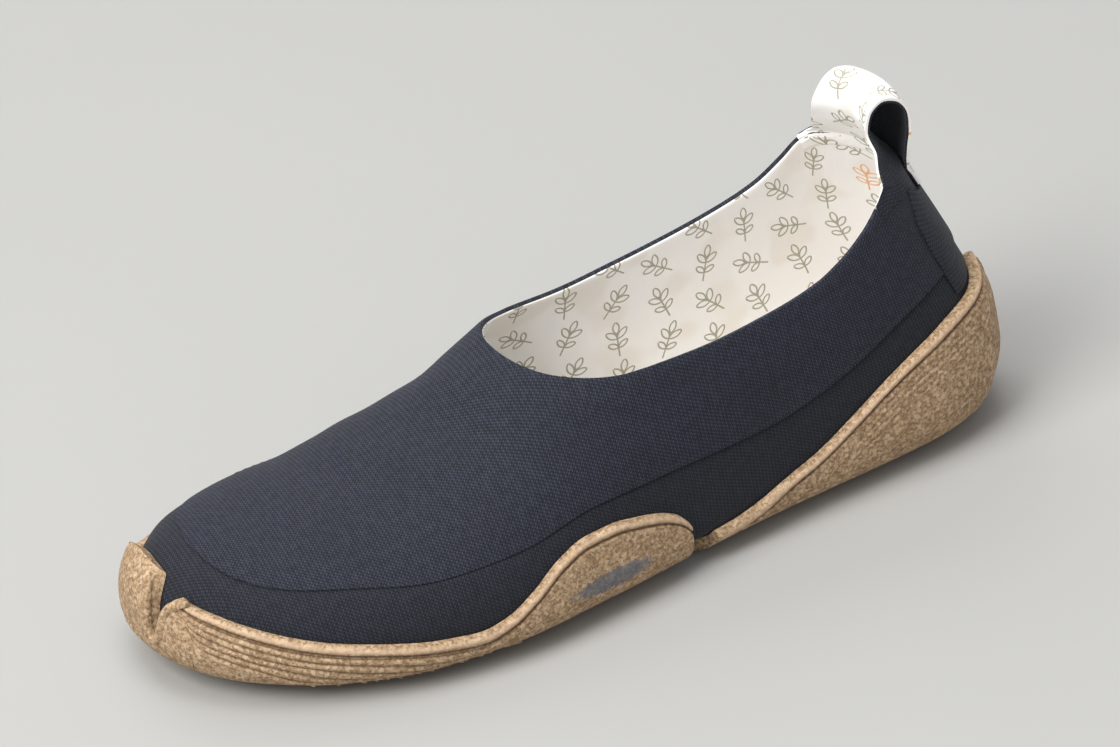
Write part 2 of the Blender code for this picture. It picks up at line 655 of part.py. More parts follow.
def make_heel_strip(material, parent):
    """The piece sewn over the back seam, from the foot of the loop to the sole. It lies on the vamp
    panel's step above the seam and on the side panel below it."""
    table = columns_of(STRIP_COLUMNS, STRIP_WIDTHS, ("share",))
    half_width = curve_through(table["share"], table["half_width"])
    step = float(seam["step"](0.0))
    seam_height = float(section["widest"](0.0) + seam["girth"](0.0)) - SEAM_RAMP
    places = np.sin(np.linspace(-STRIP_SPREAD, STRIP_SPREAD, STRIP_ACROSS)) / math.sin(STRIP_SPREAD)
    faces = []
    for offset in (GAP + STRIP_THICKNESS, GAP):
        rows = []
        for share in np.linspace(0.0, 1.0, STRIP_ROWS):
            row = []
            for v in places:
                low = STRIP_HEIGHTS[0] - STRIP_CORNER_DROP * v * v
                high = STRIP_HEIGHTS[1] + STRIP_CORNER_RISE * v**6
                z = low + share * (high - low)
                proud = offset + step * np.clip((z - seam_height) / SEAM_RAMP + 1.0, 0.0, 1.0)
                row.append(heel_point(half_width(share) * v, z, proud))
            rows.append(row)
        faces.append(rows)
    return band("heel_strip", faces[0], faces[1], material, parent)


def band(name, outer, inner, material, parent):
    """A thin closed band between two grids of points."""
    welder = Welder()
    welder.grid(outer)
    welder.grid(inner)
    for pair in ((outer[0], inner[0]), (outer[-1], inner[-1])):
        welder.grid(pair)
    for k in (0, -1):
        welder.grid(([row[k] for row in outer], [row[k] for row in inner]))
    return welder.finish(name, material, parent)


COLLAR_ANGLES = np.linspace(0.0, station_angle(0.14), 60)


def collar_point(y, offset):
    """A point LOOP_LIFT above the collar's back edge, at a sideways place."""
    side = MEDIAL if y >= 0.0 else LATERAL
    places, points = [], []
    for angle in COLLAR_ANGLES:
        turn = collar_turn(angle, side)
        raised = turn_at_girth(angle, side, girth_at_turn(angle, side, turn) + LOOP_LIFT)
        places.append(abs(float(skin(angle, turn, side)[1])))
        points.append(offset_skin(angle, raised, side, offset))
    return np.array([np.interp(abs(y), places, column) for column in np.array(points).T])


def make_pull_loop(material, parent):
    """A band that rises out of the collar's back edge, goes over and comes down to the heel strip."""
    table = columns_of(LOOP_COLUMNS, LOOP)
    knots = np.concatenate([[0.0], np.cumsum(np.hypot(np.diff(table["x"]), np.diff(table["z"])))])
    lengths = np.linspace(0.0, knots[-1], LOOP_STEPS)
    path = {name: curve_through(knots, column)(lengths) for name, column in table.items()}
    middle = np.stack([path["x"], path["z"]], -1)
    along = np.gradient(middle, axis=0)
    along /= np.linalg.norm(along, axis=1, keepdims=True)
    across = np.stack([along[:, 1], -along[:, 0]], -1) * LOOP_THICKNESS / 2
    collar_back = COLLAR[0][1] * MM
    vamp_step = float(seam["step"](0.0))
    faces = []
    for facing in (-1, 1):
        clear = 2.0 * GAP + vamp_step + (LOOP_THICKNESS if facing < 0 else 0.0)
        rows = []
        for k in range(LOOP_STEPS):
            x, z = middle[k] + facing * across[k]
            flare = 1.0 - min(1.0, (path["z"][k] - path["z"][0]) / LOOP_FLARE_HEIGHT)
            row = []
            for v in LOOP_PLACES:
                forward = path["curl"][k] + (path["twist"][k] if v > 0.0 else 0.0)
                point = np.array([x - forward * v * v, path["half_width"][k] * v, z])
                if k <= LOOP_STEPS // 2:
                    base = collar_point(point[1], vamp_step if facing > 0 else -UPPER_WALL)
                    point += (base - point) * np.array([1.0, 0.0, 1.0]) * max(0.0, flare) ** 2
                elif z < collar_back:
                    point[0] = heel_point(point[1], z, clear)[0]
                row.append(point)
            rows.append(row)
        faces.append(rows)
    return band("pull_loop", faces[0], faces[1], material, parent)


def centre_over_floor(root):
    """Moves the assembly so that its origin is under the middle of its box, on the floor."""
    bpy.context.view_layer.update()
    graph = bpy.context.evaluated_depsgraph_get()
    corners = []
    for obj in root.children:
        if not obj.hide_render:
            evaluated = obj.evaluated_get(graph)
            corners.extend(np.array(vertex.co) for vertex in evaluated.data.vertices)
    low, high = np.min(corners, axis=0), np.max(corners, axis=0)
    root.location = (-(low[0] + high[0]) / 2, -(low[1] + high[1]) / 2, -low[2])


def main():
    remove_old_objects()
    root = bpy.data.objects.new("shoe", None)
    bpy.context.scene.collection.objects.link(root)
    navy, cork, lining = (principled(name) for name in MATERIALS)
    corners = (
        0.012, 0.04, OPENING[0][0], *PANEL_SPAN, 0.42, 0.432, 0.438, 0.447, 0.474, 0.54, 0.557, 0.566,
        THROAT_STATION, 0.915, 0.93, 0.945, 0.957, 0.967, 0.9715, TOE_WRAP_STATION, 0.983, 0.992)
    angles = station_list(34, corners)
    arch_corners = station_angle((0.29, 0.31, 0.325, 0.34, 0.355, 0.37, 0.585, 0.605, 0.62, 0.635))
    make_upper(navy, root, angles)
    make_outsole(cork, root, sorted([*angles, *arch_corners]))
    make_bottom_panel(navy, root, angles)
    make_insole(lining, root)
    make_heel_strip(navy, root)
    make_pull_loop(lining, root)
    centre_over_floor(root)


main()
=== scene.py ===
# Barefoot slip-on shoe: a cloth upper with a printed lining, over an open cork-rubber sole
import math
from functools import lru_cache

import bmesh
import bpy
import numpy as np
from mathutils import Matrix, Vector
from mathutils.bvhtree import BVHTree


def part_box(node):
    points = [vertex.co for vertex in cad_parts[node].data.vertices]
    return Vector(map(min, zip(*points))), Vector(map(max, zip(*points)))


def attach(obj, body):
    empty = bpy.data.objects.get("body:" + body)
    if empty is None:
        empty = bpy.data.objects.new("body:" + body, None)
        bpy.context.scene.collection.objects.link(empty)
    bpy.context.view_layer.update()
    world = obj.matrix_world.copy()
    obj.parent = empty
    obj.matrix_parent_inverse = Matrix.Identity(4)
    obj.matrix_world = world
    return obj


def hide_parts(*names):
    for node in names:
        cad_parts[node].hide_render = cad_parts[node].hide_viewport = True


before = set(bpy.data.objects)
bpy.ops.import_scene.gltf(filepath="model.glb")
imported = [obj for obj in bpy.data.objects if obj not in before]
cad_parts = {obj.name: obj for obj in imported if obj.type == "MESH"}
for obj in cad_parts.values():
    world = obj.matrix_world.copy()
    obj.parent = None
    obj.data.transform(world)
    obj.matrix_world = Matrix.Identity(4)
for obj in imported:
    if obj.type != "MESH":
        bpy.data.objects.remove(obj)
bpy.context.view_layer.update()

mm = 0.001
lateral, medial = -1, 1
sideName = {lateral: "lateral", medial: "medial"}
tiny = 1e-6
sharpAngle = math.radians(40.0)

# The last: sections from the back of the heel (0) to the toe tip (1), in millimetres like every table here
last = {
    "length": 261.0,
    "heelReach": 0.42,
    "names": ("station", "lateral", "medial", "ridge", "top", "widest", "bottom", "topPower", "bottomPower"),
    "plain": ("topPower", "bottomPower"),
    "rows": (
        (0.00, 0.0, 0.0, 0.0, 118.0, 22.0, 3.8, 2.00, 2.6),
        (0.05, 26.0, 25.0, 0.0, 122.0, 22.0, 3.8, 2.00, 2.8),
        (0.12, 31.5, 31.5, 0.8, 126.0, 21.0, 3.8, 2.00, 3.0),
        (0.20, 33.0, 32.5, 1.4, 124.0, 19.0, 3.8, 2.00, 3.2),
        (0.30, 35.0, 32.0, 2.1, 114.0, 17.0, 3.8, 2.00, 3.2),
        (0.42, 39.5, 33.0, 4.0, 94.0, 16.0, 3.8, 2.00, 3.2),
        (0.54, 45.5, 36.5, 6.5, 73.5, 16.0, 3.8, 2.05, 3.2),
        (0.65, 49.0, 43.0, 7.6, 56.0, 15.0, 3.8, 2.10, 3.2),
        (0.75, 46.5, 47.0, 8.6, 46.0, 14.5, 3.8, 2.20, 3.2),
        (0.85, 37.5, 48.0, 10.0, 41.0, 14.5, 4.5, 2.30, 3.0),
        (0.93, 23.5, 43.0, 12.0, 38.0, 14.5, 6.8, 2.30, 2.8),
        (0.98, 6.0, 33.5, 15.0, 29.5, 14.5, 9.8, 2.20, 2.4),
        (1.00, -18.0, 18.0, 18.0, 17.5, 14.5, 13.0, 2.00, 2.0),
    ),
    "heelHeights": (0.0, 6.0, 14.0, 24.0, 36.0, 50.0, 65.0, 82.0, 105.0, 130.0),
    "heelSetIn": (11.0, 6.5, 3.0, 0.0, 0.6, 6.0, 12.0, 19.0, 27.0, 33.0),
}


def stationAngle(station):
    return np.arccos(np.clip(1.0 - 2.0 * np.asarray(station, float), -1.0, 1.0))


def angleStation(angle):
    return (1.0 - np.cos(angle)) / 2.0


def curveThrough(xs, ys):
    # smooth, and never past the points
    xs, ys = np.asarray(xs, float), np.asarray(ys, float)
    widths = np.diff(xs)
    rises = np.diff(ys) / widths
    slopes = np.zeros_like(ys)
    for i in range(1, len(xs) - 1):
        if rises[i - 1] * rises[i] > 0.0:
            before, after = 2 * widths[i] + widths[i - 1], widths[i] + 2 * widths[i - 1]
            slopes[i] = (before + after) / (before / rises[i - 1] + after / rises[i])
    slopes[0] = 1.5 * rises[0] - 0.5 * slopes[1]
    slopes[-1] = 1.5 * rises[-1] - 0.5 * slopes[-2]

    def curve(x):
        x = np.clip(np.asarray(x, float), xs[0], xs[-1])
        i = np.clip(np.searchsorted(xs, x) - 1, 0, len(xs) - 2)
        t = (x - xs[i]) / widths[i]
        rise = ys[i] * (2 * t**3 - 3 * t**2 + 1) + ys[i + 1] * (3 * t**2 - 2 * t**3)
        return rise + widths[i] * (slopes[i] * (t**3 - 2 * t**2 + t) + slopes[i + 1] * (t**3 - t**2))

    return curve


def tableCurves(table):
    # one curve over the station angle for each column
    columns = dict(zip(table["names"], np.array(table["rows"], float).T))
    angles = stationAngle(columns.pop("station"))
    plain = table.get("plain", ())
    units = {name: 1.0 if name in plain else mm for name in columns}
    return {name: curveThrough(angles, column * units[name]) for name, column in columns.items()}


def unit(vectors):
    return vectors / np.maximum(np.linalg.norm(vectors, axis=-1, keepdims=True), 1e-15)


def lengthsAlong(points):
    return np.concatenate([[0.0], np.cumsum(np.linalg.norm(np.diff(points, axis=0), axis=1))])


section = tableCurves(last)
heelSetIn = curveThrough(np.array(last["heelHeights"]) * mm, np.array(last["heelSetIn"]) * mm)
shoeLength = last["length"] * mm


def skin(angle, turn, side):
    # turn runs from the ridge (0) over the widest line (0.5) to the middle of the underside (1)
    angle, turn = np.broadcast_arrays(np.asarray(angle, float), np.asarray(turn, float))
    ridge, widest = section["ridge"](angle), section["widest"](angle)
    half = side * section[sideName[side]](angle) - ridge
    rise = np.clip(1.0 - 2.0 * turn, 0.0, 1.0) * math.pi / 2
    fall = np.clip(2.0 * turn - 1.0, 0.0, 1.0) * math.pi / 2
    above = 2.0 / section["topPower"](angle)
    below = 2.0 / section["bottomPower"](angle)
    high = turn < 0.5
    reach = np.where(high, np.cos(rise) ** above, np.clip(np.cos(fall), 0.0, 1.0) ** below)
    z = np.where(
        high,
        widest + (section["top"](angle) - widest) * np.sin(rise) ** above,
        widest - (widest - section["bottom"](angle)) * np.sin(fall) ** below,
    )
    station = angleStation(angle)
    lean = np.clip(1.0 - station / last["heelReach"], 0.0, 1.0) ** 2
    x = shoeLength / 2 - station * shoeLength - heelSetIn(z) * lean
    return np.stack([x, ridge + half * reach, z], -1)


def sideNormal(angle, turn, side, step=1e-4):
    turn = np.clip(turn, 20 * step, 1.0 - 20 * step)
    angle = np.clip(angle, 20 * step, math.pi - 20 * step)
    along = skin(angle + step, turn, side) - skin(angle - step, turn, side)
    around = skin(angle, turn + step, side) - skin(angle, turn - step, side)
    return unit(np.cross(around, along) * side)


def skinNormal(angle, turn, side, step=1e-4):
    # where the two sides meet they share one direction, so that offset walls close
    angle, turn = np.broadcast_arrays(np.asarray(angle, float), np.asarray(turn, float))
    middle = (turn <= step) | (turn >= 1.0 - step) | (angle <= step) | (angle >= math.pi - step)
    normal = sideNormal(angle, turn, side)
    shared = (normal + sideNormal(angle, turn, -side)) * np.array([1.0, 0.0, 1.0])
    return np.where(middle[..., None], unit(shared), normal)


def offsetSkin(angle, turn, side, offset):
    return skin(angle, turn, side) + skinNormal(angle, turn, side) * np.asarray(offset)[..., None]


girthTurns = np.linspace(0.0, 1.0, 301)


@lru_cache(maxsize=None)
def girths(angle, side):
    # length around the section from the widest line, up positive
    lengths = lengthsAlong(skin(angle, girthTurns, side))
    return np.interp(0.5, girthTurns, lengths) - lengths


def turnAtGirth(angle, side, girth):
    return np.interp(-np.asarray(girth), -girths(float(angle), side), girthTurns)


def girthAtTurn(angle, side, turn):
    return np.interp(turn, girthTurns, girths(float(angle), side))


def stationList(count, extra=(), span=(0.0, 1.0)):
    low, high = stationAngle(span)
    return np.unique(np.round(np.concatenate([np.linspace(low, high, count), stationAngle(extra)]), 9))


# Meshes from grids of points
def addObject(name, data):
    item = bpy.data.objects.new(name, data)
    bpy.context.scene.collection.objects.link(item)
    return item


def applied(piece):
    # the piece with its modifiers worked in, as a plain mesh
    graph = bpy.context.evaluated_depsgraph_get()
    result = bpy.data.meshes.new_from_object(piece.evaluated_get(graph))
    piece.modifiers.clear()
    piece.data = result
    result.name = piece.name
    result.shade_smooth()
    return result


def meshPiece(name, patches, material):
    # a patch is points, uv and a painted-shade tone over rows and columns, and which row gaps have faces
    verts, faces, uvs, paintedShadeTones = [], [], [], []
    start = 0
    for points, uv, paintedShadeTone, keep in patches:
        n, m = points.shape[:2]
        index = start + np.arange(n * m).reshape(n, m)
        quads = np.stack([index[:-1, :-1], index[1:, :-1], index[1:, 1:], index[:-1, 1:]], -1)
        if keep is not None:
            quads = quads[np.asarray(keep, bool)]
        faces.append(quads.reshape(-1, 4))
        verts.append(points.reshape(-1, 3))
        uvs.append(np.broadcast_to(uv, (n, m, 2)).reshape(-1, 2))
        paintedShadeTones.append(np.broadcast_to(paintedShadeTone, (n, m)).ravel())
        start += n * m
    verts, faces = np.concatenate(verts), np.concatenate(faces)
    uvs, paintedShadeTones = np.concatenate(uvs), np.concatenate(paintedShadeTones)
    data = bpy.data.meshes.new(name)
    data.from_pydata(verts.tolist(), [], faces.tolist())
    layer = data.uv_layers.new(name="cloth")
    layer.data.foreach_set("uv", uvs[faces.ravel()].astype(np.float32).ravel())
    data.attributes.new("paintedShadeTone", "FLOAT", "POINT").data.foreach_set("value", paintedShadeTones.astype(np.float32))
    body = bmesh.new()
    body.from_mesh(data)
    bmesh.ops.remove_doubles(body, verts=body.verts, dist=0.02 * mm)
    bmesh.ops.recalc_face_normals(body, faces=body.faces)
    body.to_mesh(data)
    body.free()
    data.shade_smooth()
    data.set_sharp_from_angle(angle=sharpAngle)
    data.materials.append(material)
    return addObject(name, data)


def rimPatch(outer, inner, uv, paintedShadeTone, keep):
    return (np.stack([outer, inner], 1), np.stack([uv, uv], 1), np.stack([paintedShadeTone, paintedShadeTone], 1), keep)


def neverOpen(angle, side):
    return False


def wrapped(name, material, angles, rows, topOpen, endOpen=neverOpen):
    # a closed wall round the last; rows gives outer and inner points, uv and painted-shade tone from the top
    # edge down
    patches = []
    for side in (lateral, medial):
        made = [rows(angle, side) for angle in angles]
        outer, outerUv, outerPaintedShadeTone, inner, innerUv, innerPaintedShadeTone = (np.array(part) for part in zip(*made))
        patches.append((outer, outerUv, outerPaintedShadeTone, None))
        patches.append((inner, innerUv, innerPaintedShadeTone, None))
        for edge, isOpen in ((0, topOpen), (-1, endOpen)):
            flags = np.array([isOpen(angle, side) for angle in angles])
            keep = flags[:-1] | flags[1:]
            if keep.any():
                patches.append(
                    rimPatch(outer[:, edge], inner[:, edge], outerUv[:, edge], outerPaintedShadeTone[:, edge], keep))
    return meshPiece(name, patches, material)


# Materials
def startMaterial(name):
    material = bpy.data.materials.new(name)
    material.use_nodes = True
    return material, material.node_tree, material.node_tree.nodes["Principled BSDF"]


def plug(tree, socket, value):
    if isinstance(value, bpy.types.NodeSocket):
        tree.links.new(value, socket)
    else:
        socket.default_value = value


def addNode(tree, kind, inputs, **settings):
    node = tree.nodes.new(kind)
    for name, value in settings.items():
        setattr(node, name, value)
    for key, value in inputs.items():
        plug(tree, node.inputs[key], value)
    return node


def dress(tree, shader, colour, finish):
    tree.links.new(colour, shader.inputs["Base Color"])
    for name, value in finish.items():
        shader.inputs[name].default_value = value


def calc(tree, operation, first, second=0.0, third=0.0):
    return addNode(tree, "ShaderNodeMath", {0: first, 1: second, 2: third}, operation=operation).outputs[0]


def times(tree, first, second):
    return calc(tree, "MULTIPLY", first, second)


def plus(tree, first, second):
    return calc(tree, "ADD", first, second)


def minus(tree, first, second):
    return calc(tree, "SUBTRACT", first, second)


def turned(tree, first, second, cosine, sine):
    ahead = plus(tree, times(tree, first, cosine), times(tree, second, sine))
    return ahead, minus(tree, times(tree, second, cosine), times(tree, first, sine))


def mixColour(tree, share, first, second):
    first, second = ((*value, 1.0) if isinstance(value, tuple) else value for value in (first, second))
    inputs = {"Factor": share, 6: first, 7: second}
    return addNode(tree, "ShaderNodeMix", inputs, data_type="RGBA").outputs[2]


def between(tree, value, low, high):
    # 0 below low, 1 above high, soft between
    inputs = {"Value": value, "From Min": low, "From Max": high}
    return addNode(tree, "ShaderNodeMapRange", inputs, interpolation_type="SMOOTHSTEP").outputs["Result"]


def noise(tree, vector, scale, detail=2.0, roughness=0.5):
    inputs = {"Vector": vector, "Scale": scale, "Detail": detail, "Roughness": roughness}
    return addNode(tree, "ShaderNodeTexNoise", inputs).outputs["Fac"]


def objectPlace(tree):
    return tree.nodes.new("ShaderNodeTexCoord").outputs["Object"]


def threeWays(tree, vector):
    return addNode(tree, "ShaderNodeSeparateXYZ", {0: vector}).outputs


def threeTones(tree, colour):
    return addNode(tree, "ShaderNodeSeparateColor", {0: colour}).outputs


def clothPlace(tree):
    # the cloth's own UV, in metres
    place = addNode(tree, "ShaderNodeUVMap", {}, uv_map="cloth").outputs["UV"]
    along, across, _ = threeWays(tree, place)
    return place, along, across


# per point: on the canvas 1 gives its own colour and 0 its painted shade; on the cork, above zero is paler
# towards the rim colour and below zero is painted shade
def paintedShadeToneValue(tree):
    return addNode(tree, "ShaderNodeAttribute", {}, attribute_name="paintedShadeTone").outputs["Fac"]


def bump(tree, shader, height, distance, strength):
    inputs = {"Distance": distance, "Strength": strength, "Height": height}
    tree.links.new(addNode(tree, "ShaderNodeBump", inputs).outputs["Normal"], shader.inputs["Normal"])


weave = {"crossing": 0.32, "rib": 0.16, "middle": 0.5}


def weaveHeight(tree, along, across, pitch):
    # plain weave: threads over and under, with the ribs across the shoe the stronger
    warp, weft = (calc(tree, "SINE", times(tree, way, 2 * math.pi / pitch)) for way in (along, across))
    ribbed = calc(tree, "MULTIPLY_ADD", warp, weave["rib"], weave["middle"])
    return calc(tree, "MULTIPLY_ADD", times(tree, warp, weft), weave["crossing"], ribbed)


# A noise is given by its scale, detail and roughness, a bump by its depth and strength
canvas = {
    "pitch": 1.15 * mm,
    "ground": (0.0066, 0.0076, 0.0124),
    "thread": (0.036, 0.041, 0.064),
    # the same canvas, darker: painted shade for the side panel below the seam and for the parts in shade
    "shadedGround": (0.0058, 0.0067, 0.0100),
    "shadedThread": (0.027, 0.031, 0.045),
    "slub": (420.0, 3.0),
    "slubShare": 0.5,
    "slubSink": 0.25,
    "cloud": (38.0, 2.0),
    "cloudLimits": (0.35, 0.7),
    "cloudShare": 0.4,
    "threadLimits": (0.3, 0.9),
    "bump": (0.2 * mm, 0.9),
    "finish": {"Roughness": 0.82, "Sheen Weight": 0.06, "Sheen Roughness": 0.5, "Specular IOR Level": 0.3},
}


def makeCanvas(name, spec):
    material, tree, shader = startMaterial(name)
    place, along, across = clothPlace(tree)
    height = weaveHeight(tree, along, across, spec["pitch"])
    slub = noise(tree, place, *spec["slub"])
    cloud = between(tree, noise(tree, objectPlace(tree), *spec["cloud"]), *spec["cloudLimits"])
    fuzzy = calc(tree, "MULTIPLY_ADD", slub, spec["slubShare"], minus(tree, height, spec["slubSink"]))
    raised = between(tree, fuzzy, *spec["threadLimits"])
    vamp = mixColour(tree, raised, spec["ground"], spec["thread"])
    # side is the canvas's painted-shade copy; the painted-shade tone picks between it and the vamp's own
    # colour
    side = mixColour(tree, raised, spec["shadedGround"], spec["shadedThread"])
    vamp = mixColour(tree, times(tree, cloud, spec["cloudShare"]), vamp, side)
    dress(tree, shader, mixColour(tree, paintedShadeToneValue(tree), side, vamp), spec["finish"])
    bump(tree, shader, height, *spec["bump"])
    return material


cork = {
    "tan": (0.49, 0.335, 0.195),
    "dark": (0.21, 0.128, 0.066),
    "pale": (0.70, 0.535, 0.36),
    "rim": (0.66, 0.47, 0.32),
    # painted shade for the groove under the rim and for the valleys between the ribs
    "hollowShade": (0.085, 0.045, 0.02),
    "fine": (1500.0, 3.0, 0.6),
    "grain": (860.0, 4.0, 0.65),
    "patch": (70.0, 2.0),
    "chipScale": 980.0,
    "tanLimits": (0.36, 0.66),
    # laid over the tan in turn: limits of the mask, share and colour
    "layers": {
        "fine": (0.5, 0.72, 0.6, "pale"),
        "darkChips": (0.80, 0.92, 0.5, "dark"),
        "paleChips": (0.78, 0.92, 0.45, "pale"),
        "patch": (0.4, 0.7, 0.12, "dark"),
    },
    "paintedShadeToneLimits": (0.05, 0.9),
    "rimShare": 0.55,
    "hollowShadeShare": 0.66,
    "bumpShares": {"fine": 0.4, "grain": 0.6},
    "bump": (0.35 * mm, 0.5),
    "finish": {"Roughness": 0.78, "Specular IOR Level": 0.3},
    # worn ink on the outer flap: colour, middle and half-sizes along x and z, in millimetres
    "ink": (0.085, 0.115, 0.155),
    "inkPlace": (-10.5, 14.6),
    "inkSize": (14.5, 3.6),
    "inkBeyond": -40.0,
    "inkEdge": (0.85, 1.3),
    "inkStreaks": 9.0,
    "inkSpecks": 600.0,
    "inkWear": 0.9,
    "inkShare": 0.72,
}


def inkShare(tree, place, spec):
    x, y, z = threeWays(tree, place)
    along, up = (
        calc(tree, "DIVIDE", minus(tree, way, middle * mm), half * mm)
        for way, middle, half in zip((x, z), spec["inkPlace"], spec["inkSize"]))
    away = calc(tree, "SQRT", plus(tree, times(tree, along, along), times(tree, up, up)))
    worn = times(tree, noise(tree, along, spec["inkStreaks"]), noise(tree, place, spec["inkSpecks"]))
    soft = plus(tree, away, times(tree, worn, spec["inkWear"]))
    patch = minus(tree, 1.0, between(tree, soft, *spec["inkEdge"]))
    outer = calc(tree, "LESS_THAN", y, spec["inkBeyond"] * mm)
    return times(tree, times(tree, patch, outer), spec["inkShare"])


def makeCork(spec):
    material, tree, shader = startMaterial("corkRubber")
    place = objectPlace(tree)
    masks = {name: noise(tree, place, *spec[name]) for name in ("fine", "grain", "patch")}
    chips = addNode(tree, "ShaderNodeTexVoronoi", {"Vector": place, "Scale": spec["chipScale"]})
    masks["darkChips"], masks["paleChips"], _ = threeTones(tree, chips.outputs["Color"])
    colour = mixColour(tree, between(tree, masks["grain"], *spec["tanLimits"]), spec["dark"], spec["tan"])
    for name, (low, high, share, tone) in spec["layers"].items():
        cover = times(tree, between(tree, masks[name], low, high), share)
        colour = mixColour(tree, cover, colour, spec[tone])
    colour = mixColour(tree, inkShare(tree, place, spec), colour, spec["ink"])
    # above zero the painted-shade tone turns the cork paler towards the rim colour; below zero it darkens it
    # with painted shade in the hollows
    paintedShadeTone = paintedShadeToneValue(tree)
    rim = mixColour(tree, spec["rimShare"], colour, spec["rim"])
    colour = mixColour(tree, between(tree, paintedShadeTone, *spec["paintedShadeToneLimits"]), colour, rim)
    hollowShade = between(tree, times(tree, paintedShadeTone, -1.0), *spec["paintedShadeToneLimits"])
    colour = mixColour(tree, times(tree, hollowShade, spec["hollowShadeShare"]), colour, spec["hollowShade"])
    dress(tree, shader, colour, spec["finish"])
    fine, grain = (times(tree, masks[name], share) for name, share in spec["bumpShares"].items())
    height = plus(tree, fine, grain)
    bump(tree, shader, height, *spec["bump"])
    return material


lining = {
    "white": (0.92, 0.90, 0.87),
    "cloud": (0.80, 0.73, 0.63),
    "ink": (0.24, 0.215, 0.115),
    "inkShare": 0.78,
    "orange": (0.80, 0.30, 0.03),
    "orangeAbove": 0.86,
    "cell": (15.5 * mm, 14.0 * mm),
    "lean": 2.6,
    "stroke": 0.30 * mm,
    "strokeEdge": (0.55, 1.1),
    "pitch": 0.7 * mm,
    "patches": (52.0, 1.0),
    "patchLimits": (0.50, 0.62),
    "patchShare": 0.42,
    "weaveShare": 0.12,
    # leaves of a sprig: place along the stem, lean in degrees, length, width
    "leaves": (
        (0.9, 48, 4.6, 2.0), (0.9, -48, 4.6, 2.0), (-2.4, 58, 3.7, 1.7), (-2.4, -58, 3.7, 1.7),
        (2.7, 0, 4.3, 2.0),
    ),
    "stem": (-5.6, 2.7),
    "bump": (0.08 * mm, 0.6),
    "finish": {"Roughness": 0.9, "Sheen Weight": 0.1, "Specular IOR Level": 0.2},
}


def leafLine(tree, along, across, leaf, stroke):
    # how far from the outline of a pointed leaf: two arcs that meet at its ends
    start, lean, length, width = leaf
    cosine, sine = math.cos(math.radians(lean)), math.sin(math.radians(lean))
    a, b = turned(tree, minus(tree, along, start * mm), across, cosine, sine)
    a = minus(tree, a, length * mm / 2)
    radius = (length**2 + width**2) / (4 * width) * mm
    sideways = plus(tree, calc(tree, "ABSOLUTE", b), radius - width * mm / 2)
    squares = plus(tree, times(tree, a, a), times(tree, sideways, sideways))
    edge = calc(tree, "ABSOLUTE", minus(tree, calc(tree, "SQRT", squares), radius))
    outside = calc(tree, "GREATER_THAN", calc(tree, "ABSOLUTE", a), length * mm / 2)
    return plus(tree, edge, times(tree, outside, 10 * stroke))


def makeLining(spec):
    material, tree, shader = startMaterial("printedLining")
    place, along, across = clothPlace(tree)
    wide, high = spec["cell"]
    stroke = spec["stroke"]
    column = calc(tree, "DIVIDE", along, wide)
    columnNumber = calc(tree, "FLOOR", column)
    drop = times(tree, calc(tree, "FLOORED_MODULO", columnNumber, 2.0), 0.5)
    row = plus(tree, calc(tree, "DIVIDE", across, high), drop)
    rowNumber = calc(tree, "FLOOR", row)
    x = times(tree, minus(tree, minus(tree, column, columnNumber), 0.5), wide)
    y = times(tree, minus(tree, minus(tree, row, rowNumber), 0.5), high)
    number = addNode(tree, "ShaderNodeCombineXYZ", {0: columnNumber, 1: rowNumber}).outputs[0]
    chance = addNode(tree, "ShaderNodeTexWhiteNoise", {"Vector": number}, noise_dimensions="2D")
    lean = times(tree, minus(tree, chance.outputs["Value"], 0.5), spec["lean"])
    up, beside = turned(tree, y, x, calc(tree, "COSINE", lean), calc(tree, "SINE", lean))
    low, top = (end * mm for end in spec["stem"])
    fromMiddle = calc(tree, "ABSOLUTE", minus(tree, up, (low + top) / 2))
    beyond = calc(tree, "GREATER_THAN", fromMiddle, (top - low) / 2)
    nearest = plus(tree, calc(tree, "ABSOLUTE", beside), times(tree, beyond, 10 * stroke))
    for leaf in spec["leaves"]:
        nearest = calc(tree, "MINIMUM", nearest, leafLine(tree, up, beside, leaf, stroke))
    inner, outer = (share * stroke for share in spec["strokeEdge"])
    drawn = minus(tree, 1.0, between(tree, nearest, inner, outer))
    _, orangeChance, _ = threeTones(tree, chance.outputs["Color"])
    isOrange = calc(tree, "GREATER_THAN", orangeChance, spec["orangeAbove"])
    ink = mixColour(tree, isOrange, spec["ink"], spec["orange"])
    patches = between(tree, noise(tree, place, *spec["patches"]), *spec["patchLimits"])
    ground = mixColour(tree, times(tree, patches, spec["patchShare"]), spec["white"], spec["cloud"])
    height = weaveHeight(tree, along, across, spec["pitch"])
    ground = mixColour(tree, times(tree, height, spec["weaveShare"]), ground, spec["cloud"])
    colour = mixColour(tree, times(tree, drawn, spec["inkShare"]), ground, ink)
    dress(tree, shader, colour, spec["finish"])
    bump(tree, shader, height, *spec["bump"])
    return material


navyCanvas = makeCanvas("navyCanvas", canvas)
corkRubber = makeCork(cork)
printedLining = makeLining(lining)
print("materials made")

